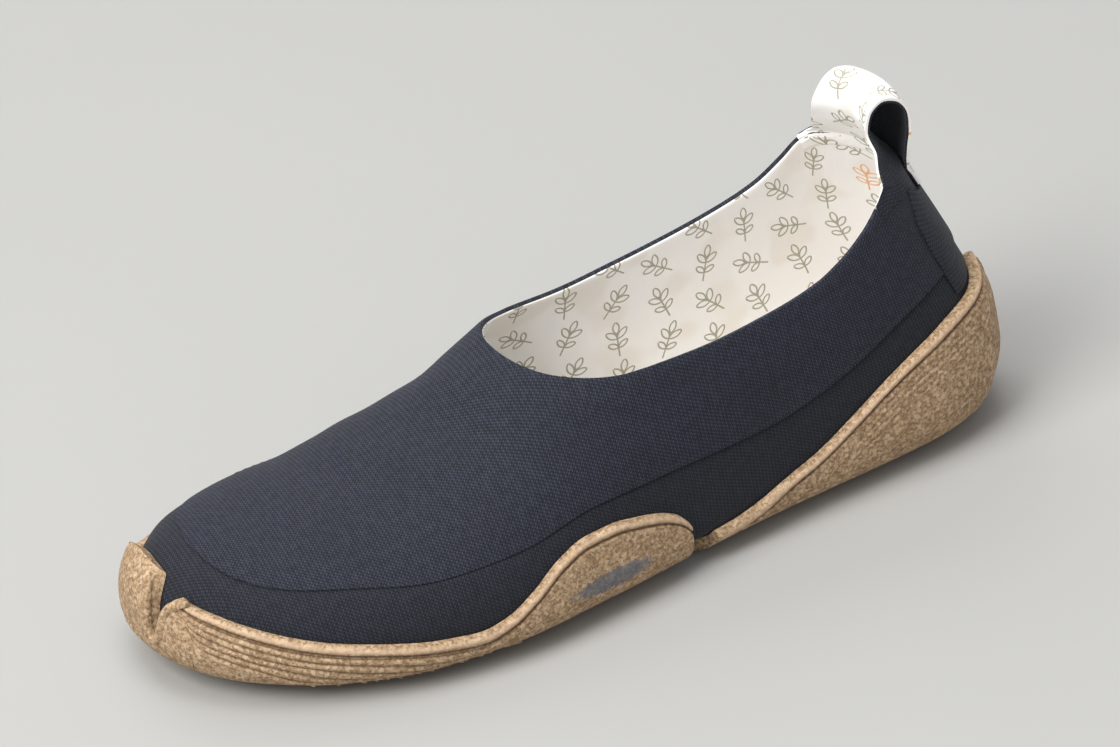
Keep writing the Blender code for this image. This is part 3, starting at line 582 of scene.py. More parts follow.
# Upper: vamp panel standing proud of the side panel, collar, throat and the opening underneath
upper = {
    "stations": 240,
    "vampRows": 26,
    "sideRows": 34,
    "liningRows": 44,
    "wall": 1.8,
    # the cloth's and the lining's own share of the wall, and how the collar's edge is rolled
    "clothWall": 0.95,
    "liningFrom": 1.0,
    "edgeWidth": 2.5,
    "edgeRoll": 0.45,
    "edgeThin": 0.15,
    "liningDrop": 0.25,
    "liningRoll": 0.3,
    "liningEdge": (0.0, 0.12, 0.3, 0.6, 1.0, 1.8),
    "liningBody": 3.0,
    "foldFade": 6.0,
    "collar": {
        "names": ("station", "lateral", "medial"),
        "rows": (
            (0.00, 86.0, 86.0), (0.04, 86.8, 87.2), (0.075, 86.8, 87.6), (0.095, 84.8, 86.0),
            (0.135, 79.6, 79.8), (0.18, 74.2, 74.0), (0.215, 71.0, 71.4), (0.29, 67.4, 68.2),
            (0.38, 65.4, 65.4), (0.46, 65.0, 63.8), (0.52, 66.4, 65.2), (0.57, 68.5, 68.5),
        ),
    },
    "throat": 0.57,
    "seam": {
        "names": ("station", "girth", "step"),
        "rows": (
            (0.00, 36.0, 0.8), (0.05, 35.0, 0.8), (0.10, 32.4, 0.8), (0.16, 27.5, 0.8), (0.21, 23.2, 0.7),
            (0.26, 20.3, 0.7), (0.32, 18.5, 0.7), (0.45, 19.8, 0.6), (0.54, 20.5, 0.45), (0.63, 18.0, 0.35),
            (0.72, 17.3, 0.35), (0.81, 20.3, 0.4), (0.88, 22.6, 0.5), (0.915, 26.0, 0.6), (0.936, 34.0, 0.6),
            (0.945, 52.0, 0.0), (1.00, 60.0, 0.0),
        ),
    },
    # the seam's edge: place above it, share of the step, and how deep the stitched line sinks
    "seamEdge": (
        (1.6, 1.0, 0.0), (1.0, 1.0, 0.0), (0.6, 1.0, 0.0), (0.35, 1.0, 0.0), (0.18, 0.97, 0.0),
        (0.07, 0.82, 0.0), (0.0, 0.4, 0.05), (-0.1, 0.0, 0.18), (-0.25, 0.0, 0.2), (-0.45, 0.0, 0.12),
        (-0.8, 0.0, 0.04), (-1.5, 0.0, 0.0),
    ),
    "opening": {
        "names": ("station", "lateral", "medial"),
        "rows": (
            (0.060, 0.0, 0.0), (0.085, 9.0, 9.0), (0.130, 15.0, 14.0), (0.220, 18.0, 14.0),
            (0.340, 18.0, 8.0), (0.440, 20.0, 5.0), (0.540, 26.0, 7.0), (0.650, 32.0, 16.0),
            (0.760, 32.0, 22.0), (0.850, 26.0, 22.0), (0.910, 12.0, 12.0), (0.930, 0.0, 0.0),
        ),
    },
    # soft folds of the cloth: station, place across the ridge, half-lengths along and across, depth, lean
    "creases": (
        (0.610, -6.0, 16.0, 5.0, 0.9, 60.0),
        (0.640, -20.0, 22.0, 5.5, -0.7, 62.0),
        (0.700, -16.0, 26.0, 6.0, 0.6, 66.0),
        (0.760, -12.0, 28.0, 6.5, -0.6, 74.0),
        (0.820, -10.0, 26.0, 6.0, 0.5, 80.0),
        (0.870, -8.0, 22.0, 5.0, -0.4, 84.0),
        (0.480, -52.0, 30.0, 7.0, -0.7, 20.0),
        (0.330, -70.0, 26.0, 6.0, 0.5, 24.0),
        (0.620, 24.0, 22.0, 6.0, -0.7, -62.0),
        (0.720, 26.0, 26.0, 6.5, 0.6, -68.0),
        (0.800, 22.0, 24.0, 6.0, -0.5, -76.0),
    ),
}
collarCurves = tableCurves(upper["collar"])
seamCurves = tableCurves(upper["seam"])
openingCurves = tableCurves(upper["opening"])
upperWall = upper["wall"] * mm
throatAngle = float(stationAngle(upper["throat"]))


def collarTurn(angle, side):
    if angle >= throatAngle - 1e-9:
        return 0.0
    widest = section["widest"](angle)
    share = (collarCurves[sideName[side]](angle) - widest) / (section["top"](angle) - widest)
    return 0.5 - math.asin(np.clip(share, 0.0, 1.0) ** (section["topPower"](angle) / 2)) / math.pi


def openingTurn(angle, side, margin=0.0):
    width = float(openingCurves[sideName[side]](angle)) - margin
    ends = stationAngle([upper["opening"]["rows"][0][0], upper["opening"]["rows"][-1][0]])
    if width <= 0.0 or not ends[0] < angle < ends[1]:
        return 1.0
    half = abs(side * section[sideName[side]](angle) - section["ridge"](angle))
    reach = np.clip(width / half, 0.0, 1.0)
    return 0.5 + math.acos(reach ** (section["bottomPower"](angle) / 2)) / math.pi


def creaseOffset(angle, across):
    along = angleStation(angle) * last["length"]
    total = np.zeros_like(across)
    for station, centre, halfLong, halfWide, depth, lean in upper["creases"]:
        dx, dy = along - station * last["length"], across / mm - centre
        cosine, sine = math.cos(math.radians(lean)), math.sin(math.radians(lean))
        a, b = dx * cosine + dy * sine, dy * cosine - dx * sine
        total += depth * mm * np.exp(-((a / halfLong) ** 2) - (b / halfWide) ** 2)
    return total


def clothSpan(angle, side):
    # girths of the collar's edge, the edge underneath and the ridge, and whether the collar is open here
    start, end = collarTurn(angle, side), openingTurn(angle, side)
    return (*(float(girthAtTurn(angle, side, turn)) for turn in (start, end, 0.0)), start > tiny)


def nearEdge(top, girth, isOpen):
    # 1 at the collar's edge, down to 0 where the roll ends
    if not isOpen:
        return np.zeros_like(girth)
    return np.clip(1.0 - (top - girth) / (upper["edgeWidth"] * mm), 0.0, 1.0)


def upperRows(angle, side):
    top, low, ridgeGirth, isOpen = clothSpan(angle, side)
    seamGirth = min(float(seamCurves["girth"](angle)), top)
    step = float(seamCurves["step"](angle)) if seamGirth < top else 0.0
    stepped = 1.0 if step > 0 else 0.0
    place, share, sink = np.array(upper["seamEdge"]).T
    near = np.minimum(seamGirth + place * mm, top)
    vamp = np.linspace(top, near[0], upper["vampRows"])[:-1]
    quarter = np.linspace(near[-1], low, upper["sideRows"])[1:]
    girth = np.concatenate([vamp, near, quarter])
    rise = np.concatenate([np.ones(len(vamp)), share, np.zeros(len(quarter))]) * step
    dip = np.concatenate([np.zeros(len(vamp)), sink, np.zeros(len(quarter))]) * mm * stepped
    turns = turnAtGirth(angle, side, girth)
    across = side * (ridgeGirth - girth)
    fade = np.clip((girth - seamGirth) / (upper["foldFade"] * mm) + 0.4, 0.0, 1.0)
    fold = creaseOffset(angle, across) * fade
    roll = nearEdge(top, girth, isOpen)
    outer = offsetSkin(angle, turns, side, rise - dip + fold - upper["edgeRoll"] * mm * roll**4)
    inner = offsetSkin(angle, turns, side, fold - upper["clothWall"] * mm - upper["edgeThin"] * mm * roll)
    along = np.full_like(girth, angleStation(angle) * shoeLength)
    uv = np.stack([along, across], -1)
    # painted shade: 0 below the seam and at the toe where there is no seam, so the canvas's shaded copy is
    # used there; 1 on the vamp
    paintedShadeTone = np.clip((girth - seamGirth) / (0.4 * mm) + 0.6, 0.0, 1.0) * stepped
    return outer, uv, paintedShadeTone, inner, uv, paintedShadeTone


def liningRows(angle, side):
    top, low, ridgeGirth, isOpen = clothSpan(angle, side)
    edge = top + (-upper["liningDrop"] * mm if isOpen else 0.0)
    nearTop = edge - np.array(upper["liningEdge"]) * mm
    below = np.linspace(top - upper["liningBody"] * mm, low, upper["liningRows"])
    girth = np.concatenate([nearTop, below])
    girth = np.maximum(girth, low)
    turns = turnAtGirth(angle, side, girth)
    fold = creaseOffset(angle, side * (ridgeGirth - girth))
    roll = nearEdge(edge, girth, isOpen)
    inner = offsetSkin(angle, turns, side, fold - upperWall + upper["liningRoll"] * mm * roll**6)
    outer = offsetSkin(angle, turns, side, fold - upper["liningFrom"] * mm - upper["edgeThin"] * mm * roll)
    along = np.full_like(girth, angleStation(angle) * shoeLength)
    uv = np.stack([along, girth], -1)
    paintedShadeTone = np.zeros_like(girth)
    return outer, uv, paintedShadeTone, inner, uv, paintedShadeTone


nearThroat = np.array([0.0, 0.0002, 0.0006, 0.0012, 0.002, 0.003, 0.0045, 0.0065, 0.009])
throatStations = upper["throat"] - nearThroat
upperAngles = stationList(upper["stations"], (*throatStations, 0.06, 0.93, 0.936, 0.94, 0.945))


def collarOpen(angle, side):
    return collarTurn(angle, side) > tiny


def bottomOpen(angle, side):
    return openingTurn(angle, side) < 1.0 - tiny


upperCloth = wrapped("upper_cloth", navyCanvas, upperAngles, upperRows, collarOpen, bottomOpen)
upperLining = wrapped("upper_lining", printedLining, upperAngles, liningRows, collarOpen, bottomOpen)
print("upper and lining made")

# Bottom cloth that closes the upper, and the insole on it
# the bottom cloth takes the canvas partly in painted shade
bottomCloth = {"span": (0.065, 0.926), "stations": 120, "gap": 0.4, "thickness": 1.6, "paintedShadeTone": 0.35}
insole = {
    "span": (0.035, 0.955),
    "stations": 120,
    "edgeGirth": -9.0,
    "thickness": 3.0,
    "gap": 0.4,
    # how much thinner its edge is, and over what share of a turn
    "edgeThin": 0.45,
    "edgeTurn": 0.03,
}


def bottomTurn(angle, side):
    low, high = stationAngle(bottomCloth["span"])
    inside = low + 1e-9 < angle < high - 1e-9
    return openingTurn(angle, side, bottomCloth["gap"] * mm) if inside else 1.0


def flatUv(angle, turns, side):
    along = np.full_like(turns, angleStation(angle) * shoeLength)
    return np.stack([along, skin(angle, turns, side)[:, 1]], -1)


def bottomRows(angle, side):
    turns = np.linspace(bottomTurn(angle, side), 1.0, 24)
    uv = flatUv(angle, turns, side)
    outer = offsetSkin(angle, turns, side, np.zeros_like(turns))
    inner = offsetSkin(angle, turns, side, np.full_like(turns, -bottomCloth["thickness"] * mm))
    paintedShadeTone = np.full_like(turns, bottomCloth["paintedShadeTone"])
    return outer, uv, paintedShadeTone, inner, uv, paintedShadeTone


def insoleTurn(angle, side):
    low, high = stationAngle(insole["span"])
    close = math.sin(math.pi * np.clip((angle - low) / (high - low), 0.0, 1.0)) ** 0.35
    full = float(turnAtGirth(angle, side, insole["edgeGirth"] * mm))
    return 1.0 - (1.0 - full) * close if close > 1e-3 else 1.0


def insoleRows(angle, side):
    turns = np.linspace(insoleTurn(angle, side), 1.0, 26)
    under = -(upperWall + insole["gap"] * mm)
    uv = flatUv(angle, turns, side)
    outer = offsetSkin(angle, turns, side, np.full_like(turns, under))
    edge = 1.0 - np.clip((turns - turns[0]) / insole["edgeTurn"], 0.0, 1.0)
    thickness = insole["thickness"] * mm * (1.0 - insole["edgeThin"] * edge**2)
    inner = offsetSkin(angle, turns, side, under - thickness)
    paintedShadeTone = np.zeros_like(turns)
    return outer, uv, paintedShadeTone, inner, uv, paintedShadeTone


def bottomEdged(angle, side):
    return bottomTurn(angle, side) < 1.0


def insoleEdged(angle, side):
    return insoleTurn(angle, side) < 1.0 - tiny


bottomAngles = stationList(bottomCloth["stations"], (), bottomCloth["span"])
insoleAngles = stationList(insole["stations"], (), insole["span"])
bottomPiece = wrapped("bottom_cloth", navyCanvas, bottomAngles, bottomRows, bottomEdged)
insolePiece = wrapped("insole_bed", printedLining, insoleAngles, insoleRows, insoleEdged)
print("bottom cloth and insole made")

# Outsole: wraps heel, flank lobe and toe, open at the arch, cut by a slit, a pocket and two notches
sole = {
    "stations": 330,
    # rows of points down the wall, in millimetres below its edge, then under the foot and inside
    "rimRows": (0.0, 4.0, 19),
    "ribRows": (4.25, 14.0, 40),
    "underRows": 22,
    "innerRows": 34,
    "wallShare": 0.55,
    "underTurn": 0.3,
    "gap": 0.4,
    "wall": 2.3,
    "bottom": 4.0,
    "tread": 0.5,
    "toeWrap": 0.975,
    "names": ("station", "lateral", "medial", "rim", "lateralRibs", "medialRibs", "extra"),
    "plain": ("rim", "lateralRibs", "medialRibs"),
    "rows": (
        (0.000, 25.5, 25.5, 1.0, 0.0, 0.0, 0.7), (0.035, 24.5, 24.0, 1.0, 0.25, 0.2, 0.7),
        (0.075, 22.8, 19.5, 1.0, 0.3, 0.8, 0.6), (0.120, 19.5, 16.0, 1.0, 0.3, 1.0, 0.4),
        (0.170, 14.6, 13.5, 1.0, 0.3, 1.0, 0.1), (0.220, 8.5, 7.8, 1.0, 0.25, 1.0, 0.0),
        (0.268, 3.0, 1.2, 1.0, 0.0, 1.0, 0.0), (0.310, -0.2, -6.8, 1.0, 0.0, 0.8, 0.0),
        (0.350, -3.3, -15.0, 1.0, 0.0, 0.3, 0.0), (0.385, -5.0, -22.8, 1.0, 0.0, 0.0, 0.0),
        (0.420, -5.6, -27.0, 1.0, 0.0, 0.0, 0.0), (0.432, -5.4, -27.2, 1.0, 0.0, 0.0, 0.0),
        (0.438, 1.0, -27.2, 1.0, 0.0, 0.0, 0.0), (0.447, 5.0, -27.1, 1.0, 0.0, 0.0, 0.0),
        (0.453, 6.6, -26.9, 1.0, 0.0, 0.0, 0.0), (0.474, 9.8, -25.9, 1.0, 0.0, 0.0, 0.0),
        (0.502, 12.2, -23.7, 1.0, 0.0, 0.0, 0.0), (0.535, 13.9, -19.0, 1.0, 0.0, 0.0, 0.0),
        (0.565, 13.9, -13.6, 1.0, 0.0, 0.0, 0.0), (0.600, 11.5, -6.8, 1.0, 0.0, 0.0, 0.0),
        (0.640, 5.6, 0.8, 1.0, 0.1, 0.0, 0.0), (0.671, 1.4, 3.6, 1.0, 0.4, 0.2, 0.0),
        (0.701, -0.3, 5.0, 1.0, 0.7, 0.4, 0.0), (0.740, 0.6, 6.0, 1.0, 0.9, 0.5, 0.0),
        (0.800, 3.2, 6.4, 1.0, 1.0, 0.6, 0.0), (0.850, 5.5, 7.2, 1.0, 1.0, 0.7, 0.0),
        (0.900, 8.9, 7.2, 1.0, 1.0, 0.7, 0.1), (0.930, 11.6, 7.2, 1.0, 1.0, 0.7, 0.3),
        (0.950, 13.8, 7.4, 1.0, 1.0, 0.4, 0.7), (0.960, 15.0, 8.0, 1.0, 0.9, 0.1, 0.9),
        (0.967, 16.6, 9.4, 0.9, 0.6, 0.0, 1.1), (0.9715, 24.0, 17.0, 0.6, 0.3, 0.0, 1.3),
        (0.975, 60.0, 60.0, 0.0, 0.0, 0.0, 1.6),
        (1.000, 60.0, 60.0, 0.0, 0.0, 0.0, 1.8),
    ),
    # the rolled rim and the groove below it: distance from the edge, wall
    "rimProfile": (
        (0.0, 1.2), (0.35, 1.9), (0.9, 2.45), (1.5, 2.6), (2.1, 2.45), (2.5, 2.1), (2.75, 1.65), (3.05, 1.6),
        (3.4, 2.1), (3.9, 2.3), (10.2, 2.3),
    ),
    "ribStart": 3.5,
    "ribPitch": 2.1,
    "ribCount": 5,
    "ribDepth": 0.8,
    # where the rim is palest, and the middle and width of the painted shade in the groove below it
    "rimMiddle": 1.3,
    "groove": (2.95, 0.4),
    # middle and half-width of the slit
    "slit": (
        (24.0, -58.0, 6.5), (22.0, -46.0, 5.2), (16.5, -36.0, 4.0), (8.0, -30.0, 3.0), (-4.0, -25.4, 2.4),
        (-18.0, -20.0, 2.1), (-32.0, -15.2, 2.0), (-46.0, -10.8, 2.0), (-60.0, -7.0, 2.0), (-68.0, -5.0, 2.0),
    ),
    "pocketCentre": (-73.5, -1.8),
    "pocketSize": (27.0, 10.5),
    "pocketCorner": 2.6,
    "pocketTurn": 127.0,
    "toeNotch": (
        (-16.0, 44.0), (-12.5, 33.2), (-9.5, 31.0), (-6.0, 30.2), (-3.8, 29.2), (-2.2, 27.4), (-1.3, 24.8),
        (-0.7, 21.0), (0.4, 18.0), (1.8, 16.8), (3.2, 17.8), (4.4, 22.0), (5.6, 27.4), (7.3, 30.9),
        (10.1, 33.3), (14.2, 35.1), (17.0, 44.0),
    ),
    "heelNotch": (
        (-9.0, 56.0), (-5.5, 46.0), (-2.8, 36.0), (-1.6, 22.0), (-1.0, 10.0), (0.3, 6.3), (2.0, 5.4),
        (3.7, 6.3), (5.0, 10.0), (5.6, 20.0), (6.6, 32.0), (9.5, 42.0), (13.0, 56.0),
    ),
    "notchReach": 30.0,
    "cutMargin": 12.0,
    "cutHeight": 30.0,
    "cutPoints": 50,
}
soleCurves = tableCurves(sole)
rimDistance, rimWall = np.array(sole["rimProfile"]).T * mm
rimCurve = curveThrough(rimDistance, rimWall)
wrapAngle = float(stationAngle(sole["toeWrap"]))


def soleEdgeTurn(angle, side):
    if angle >= wrapAngle - 1e-9:
        return 0.0
    return float(turnAtGirth(angle, side, soleCurves[sideName[side]](angle)))


def soleRows(angle, side):
    edge = soleEdgeTurn(angle, side)
    edgeGirth = float(girthAtTurn(angle, side, edge))
    reach = edgeGirth - float(girthAtTurn(angle, side, 1.0))
    squeeze = min(1.0, sole["wallShare"] * reach / rimDistance[-1])
    distance = np.concatenate([np.linspace(*sole["rimRows"]), np.linspace(*sole["ribRows"])]) * mm * squeeze
    distance = np.concatenate([distance, np.linspace(distance[-1], reach, sole["underRows"])[1:]])
    turns = turnAtGirth(angle, side, edgeGirth - distance)
    turns[-1] = 1.0
    under = np.clip((turns - 0.5) / sole["underTurn"], 0.0, 1.0)
    thickness = sole["wall"] * mm + (sole["bottom"] - sole["wall"]) * mm * under * under * (3 - 2 * under)
    thickness += float(soleCurves["extra"](angle)) * (1.0 - under)
    rim = float(soleCurves["rim"](angle))
    rolled = rim * (rimCurve(distance / squeeze) - sole["wall"] * mm)
    ribs = float(soleCurves[sideName[side] + "Ribs"](angle))
    phase = (distance / mm / squeeze - sole["ribStart"]) / sole["ribPitch"]
    ribs = np.where((phase > 0.0) & (phase < sole["ribCount"]), ribs, 0.0)
    wave = np.abs(np.sin(math.pi * phase))
    valleyShade = ribs * (1.0 - wave) ** 2
    lift = rolled + sole["ribDepth"] * mm * ribs * (wave**0.7 - 0.6)
    outer = offsetSkin(angle, turns, side, sole["gap"] * mm + thickness + lift)
    outer[:, 2] = np.maximum(outer[:, 2], sole["tread"] * mm)
    innerTurns = np.maximum(np.linspace(0.0, 1.0, sole["innerRows"]), edge)
    inner = offsetSkin(angle, innerTurns, side, np.full(len(innerTurns), sole["gap"] * mm))
    fromEdge = distance / mm / squeeze
    bead = np.clip(1.0 - np.abs(fromEdge - sole["rimMiddle"]) / sole["rimMiddle"], 0.0, 1.0) * rim
    grooveMiddle, grooveWidth = sole["groove"]
    groove = np.exp(-(((fromEdge - grooveMiddle) / grooveWidth) ** 2)) * rim
    # paler along the rim's crest; painted shade in the groove under the rim and in the valleys between the
    # ribs
    paintedShadeTone = bead - groove - valleyShade
    flatOuter, flatInner = (np.zeros((len(face), 2)) for face in (outer, inner))
    return outer, flatOuter, paintedShadeTone, inner, flatInner, np.zeros(len(inner))


def prism(name, outline, axis, low, high):
    body = bmesh.new()
    rings = []
    for level in (low, high):
        rings.append([body.verts.new(np.insert(np.asarray(point, float), axis, level)) for point in outline])
    for k in range(len(outline)):
        n = (k + 1) % len(outline)
        body.faces.new((rings[0][k], rings[0][n], rings[1][n], rings[1][k]))
    for ring in rings:
        body.faces.new(ring)
    bmesh.ops.triangulate(body, faces=[face for face in body.faces if len(face.verts) > 4])
    bmesh.ops.recalc_face_normals(body, faces=body.faces)
    data = bpy.data.meshes.new(name)
    body.to_mesh(data)
    body.free()
    return addObject(name, data)


def smoothLine(points, count):
    points = np.asarray(points, float)
    knots = lengthsAlong(points)
    spread = np.linspace(0.0, knots[-1], count)
    return np.stack([curveThrough(knots, column)(spread) for column in points.T], -1)


def slitOutline(count=60):
    line = smoothLine(np.array(sole["slit"]) * mm, count)
    middle, half = line[:, :2], line[:, 2:]
    along = unit(np.gradient(middle, axis=0))
    across = np.stack([-along[:, 1], along[:, 0]], -1) * half
    return np.concatenate([middle + across, (middle - across)[::-1]])


def pocketOutline(steps=8):
    turn = math.radians(sole["pocketTurn"])
    spin = np.array([[math.cos(turn), -math.sin(turn)], [math.sin(turn), math.cos(turn)]])
    long, wide = (size * mm / 2 - sole["pocketCorner"] * mm for size in sole["pocketSize"])
    centre = np.array(sole["pocketCentre"]) * mm
    points = []
    for quarter, (sx, sy) in enumerate(((1, 1), (-1, 1), (-1, -1), (1, -1))):
        for k in range(steps):
            angle = math.pi / 2 * (quarter + k / (steps - 1))
            arm = sole["pocketCorner"] * mm * np.array([math.cos(angle), math.sin(angle)])
            points.append(spin @ (np.array([sx * long, sy * wide]) + arm) + centre)
    return np.array(points)


def cutSole(piece):
    margin, high = sole["cutMargin"] * mm, sole["cutHeight"] * mm
    toeEnd, heelEnd, reach = -shoeLength / 2, shoeLength / 2, sole["notchReach"] * mm
    toeNotch, heelNotch = (
        smoothLine(sole[name], sole["cutPoints"]) * mm for name in ("toeNotch", "heelNotch"))
    cutters = (
        prism("slitCutter", slitOutline(), 2, -margin, high),
        prism("pocketCutter", pocketOutline(), 2, -margin, high),
        prism("toeNotchCutter", toeNotch, 0, toeEnd - margin, toeEnd + reach),
        prism("heelNotchCutter", heelNotch, 0, heelEnd - reach, heelEnd + margin),
    )
    for cutter in cutters:
        boolean = piece.modifiers.new(cutter.name, "BOOLEAN")
        boolean.operation = "DIFFERENCE"
        boolean.solver = "MANIFOLD"
        boolean.object = cutter
    applied(piece).set_sharp_from_angle(angle=sharpAngle)
    for cutter in cutters:
        bpy.data.objects.remove(cutter)


def soleEdged(angle, side):
    return soleEdgeTurn(angle, side) > tiny


flapStations = np.linspace(0.428, 0.48, 60)
toeStations = np.linspace(0.94, 0.985, 60)
soleAngles = stationList(sole["stations"], (*flapStations, *toeStations))
solePiece = wrapped("cork_sole", corkRubber, soleAngles, soleRows, soleEdged)
cutSole(solePiece)
print("sole made,", len(solePiece.data.polygons), "faces")

# Heel tape over the back seam
heelTape = {
    "shares": (0.0, 0.35, 0.7, 1.0),
    "halfWidths": (24.6, 24.2, 22.6, 18.0),
    "heights": (49.2, 77.6),
    "cornerDrop": 1.2,
    "cornerRise": 5.6,
    "cornerPower": 6,
    "edgeThin": 0.45,
    "edgePower": 24,
    "spread": 75.0,
    "seamRamp": 2.0,
    "thickness": 1.0,
    "gap": 0.12,
}
heelAngles = np.linspace(0.0, float(stationAngle(0.16)), 200)


def heelPoint(y, z, offset):
    side = medial if y >= 0.0 else lateral
    widest, top = section["widest"](heelAngles), section["top"](heelAngles)
    share = np.clip((z - widest) / (top - widest), 0.0, 1.0)
    turns = 0.5 - np.arcsin(share ** (section["topPower"](heelAngles) / 2)) / math.pi
    sideways = np.abs(skin(heelAngles, turns, side)[:, 1])
    angle = np.interp(abs(y), sideways, heelAngles)
    return offsetSkin(angle, np.interp(angle, heelAngles, turns), side, offset)


def bandPiece(name, faces, uv, material, paintedShadeTone):
    # a thin closed band between two grids of points
    outer, inner = (np.array(face) for face in faces)
    paintedShadeTones = np.broadcast_to(paintedShadeTone, outer.shape[:2])
    patches = [(outer, uv, paintedShadeTones, None), (inner, uv, paintedShadeTones, None)]
    for k in (0, -1):
        patches.append(rimPatch(outer[k], inner[k], uv[k], paintedShadeTones[k], None))
        patches.append(rimPatch(outer[:, k], inner[:, k], uv[:, k], paintedShadeTones[:, k], None))
    return meshPiece(name, patches, material)


def makeHeelTape(spec, rows=60, columns=61):
    halfWidth = curveThrough(spec["shares"], np.array(spec["halfWidths"]) * mm)
    step = float(seamCurves["step"](0.0))
    seamHeight = float(section["widest"](0.0) + seamCurves["girth"](0.0))
    turns = np.radians(np.linspace(-spec["spread"], spec["spread"], columns))
    shares, places = np.linspace(0.0, 1.0, rows), np.sin(turns) / math.sin(turns[-1])
    faces = []
    for thickness in (spec["thickness"], 0.0):
        face = []
        for share in shares:
            row = []
            for v in places:
                low = (spec["heights"][0] - spec["cornerDrop"] * v * v) * mm
                high = (spec["heights"][1] + spec["cornerRise"] * v ** spec["cornerPower"]) * mm
                z = low + share * (high - low)
                lies = step * np.clip((z - seamHeight) / (spec["seamRamp"] * mm) + 1.0, 0.0, 1.0)
                thinned = thickness * (1.0 - spec["edgeThin"] * abs(v) ** spec["edgePower"])
                proud = (spec["gap"] + thinned) * mm
                row.append(heelPoint(halfWidth(share) * v, z, lies + proud))
            face.append(row)
        faces.append(face)
    height = (spec["heights"][1] - spec["heights"][0]) * mm
    uv = np.stack(np.meshgrid(shares * height, turns * spec["halfWidths"][0] * mm, indexing="ij"), -1)
    # the heel tape takes the canvas partly in painted shade
    return bandPiece("heel_tape", faces, uv, navyCanvas, 0.55)


heelTapePiece = makeHeelTape(heelTape)
print("heel tape made")

# Pull loop: rises from the collar's back, goes over and comes down to the heel tape
pullLoop = {
    "thickness": 1.5,
    "flareHeight": 9.0,
    "gap": 0.4,
    "lift": 0.9,
    "proud": 0.12,
    "blend": 2.0,
    "tail": 5.0,
    # share of the tail's length, and how proud of the cloth it lies there
    "tailRows": ((1.0, -0.2), (0.9, 0.12), (0.7, 0.12), (0.45, 0.12), (0.2, 0.12)),
    "names": ("x", "z", "halfWidth", "curl", "twist"),
    "rows": (
        (109.1, 87.0, 24.0, 13.5, 0.0), (106.2, 91.5, 19.5, 9.5, 1.5), (102.9, 97.0, 15.2, 3.6, 4.5),
        (101.2, 102.5, 12.8, 2.6, 4.2), (102.3, 107.6, 12.4, 1.8, 3.0), (106.3, 110.2, 12.4, 1.5, 2.4),
        (110.6, 108.6, 12.4, 1.5, 1.6), (113.2, 104.0, 12.4, 1.5, 0.8), (113.7, 98.5, 12.4, 2.1, 0.3),
        (112.9, 92.5, 12.2, 2.5, 0.0), (112.3, 88.0, 12.0, 2.5, 0.0), (113.0, 83.5, 11.6, 3.0, 0.0),
        (114.9, 78.9, 11.2, 3.0, 0.0),
    ),
    "liningShare": 0.52,
}
collarAngles = np.linspace(0.0, float(stationAngle(0.14)), 80)


@lru_cache(maxsize=None)
def collarLine(side, offset, lift):
    places, points = [], []
    for angle in collarAngles:
        turn = collarTurn(angle, side)
        raised = turnAtGirth(angle, side, girthAtTurn(angle, side, turn) + lift)
        places.append(abs(float(skin(angle, turn, side)[1])))
        points.append(offsetSkin(angle, raised, side, offset))
    return np.array(places), np.array(points)


def collarPoint(y, offset, lift):
    places, points = collarLine(medial if y >= 0.0 else lateral, offset, lift)
    return np.array([np.interp(abs(y), places, column) for column in points.T])


def unrolled(points):
    # UV in metres along both ways of a grid, measured from its middle
    uv = []
    for axis in (0, 1):
        steps = np.linalg.norm(np.diff(points, axis=axis), axis=-1)
        lengths = np.insert(np.cumsum(steps, axis=axis), 0, 0.0, axis=axis)
        uv.append(lengths - np.take(lengths, [points.shape[axis] // 2], axis=axis))
    return np.stack(uv, -1)


def loopTail(spec, facing, columns):
    # the loop's cloth goes on down the lining and the back, and sinks into them
    surface = -upperWall if facing < 0 else float(seamCurves["step"](0.0))
    halfWidth = spec["rows"][0][2] * mm
    rows = []
    for share, proud in spec["tailRows"]:
        rows.append([
            collarPoint(halfWidth * v, surface + facing * (proud * mm), -share * spec["tail"] * mm)
            for v in np.linspace(-1.0, 1.0, columns)])
    return np.array(rows)


def loopFaces(spec, rows=96, columns=33):
    table = dict(zip(spec["names"], np.array(spec["rows"]).T * mm))
    knots = np.concatenate([[0.0], np.cumsum(np.hypot(np.diff(table["x"]), np.diff(table["z"])))])
    lengths = np.linspace(0.0, knots[-1], rows)
    path = {name: curveThrough(knots, column)(lengths) for name, column in table.items()}
    middle = np.stack([path["x"], path["z"]], -1)
    along = unit(np.gradient(middle, axis=0))
    across = np.stack([along[:, 1], -along[:, 0]], -1) * spec["thickness"] * mm / 2
    collarBack = upper["collar"]["rows"][0][1] * mm
    vampStep = float(seamCurves["step"](0.0))
    faces = []
    for facing in (-1, 1):
        clear = 2.0 * spec["gap"] * mm + vampStep + (spec["thickness"] * mm if facing < 0 else 0.0)
        face = []
        for k in range(rows):
            x, z = middle[k] + facing * across[k]
            flare = max(0.0, 1.0 - (path["z"][k] - path["z"][0]) / (spec["flareHeight"] * mm))
            row = []
            for v in np.linspace(-1.0, 1.0, columns):
                forward = path["curl"][k] + (path["twist"][k] if v > 0.0 else 0.0)
                point = np.array([x - forward * v * v, path["halfWidth"][k] * v, z])
                if k <= rows // 2:
                    surface = vampStep if facing > 0 else -upperWall
                    base = collarPoint(point[1], surface + facing * spec["proud"] * mm, spec["lift"] * mm)
                    point += (base - point) * np.array([1.0, 0.0, 1.0]) * flare**2
                elif z < collarBack:
                    blend = np.clip((collarBack - z) / (spec["blend"] * mm), 0.0, 1.0)
                    point[0] += (heelPoint(point[1], z, clear)[0] - point[0]) * blend
                row.append(point)
            face.append(row)
        faces.append(np.concatenate([loopTail(spec, facing, columns), np.array(face)]))
    return faces[0], faces[1], unrolled(faces[0])


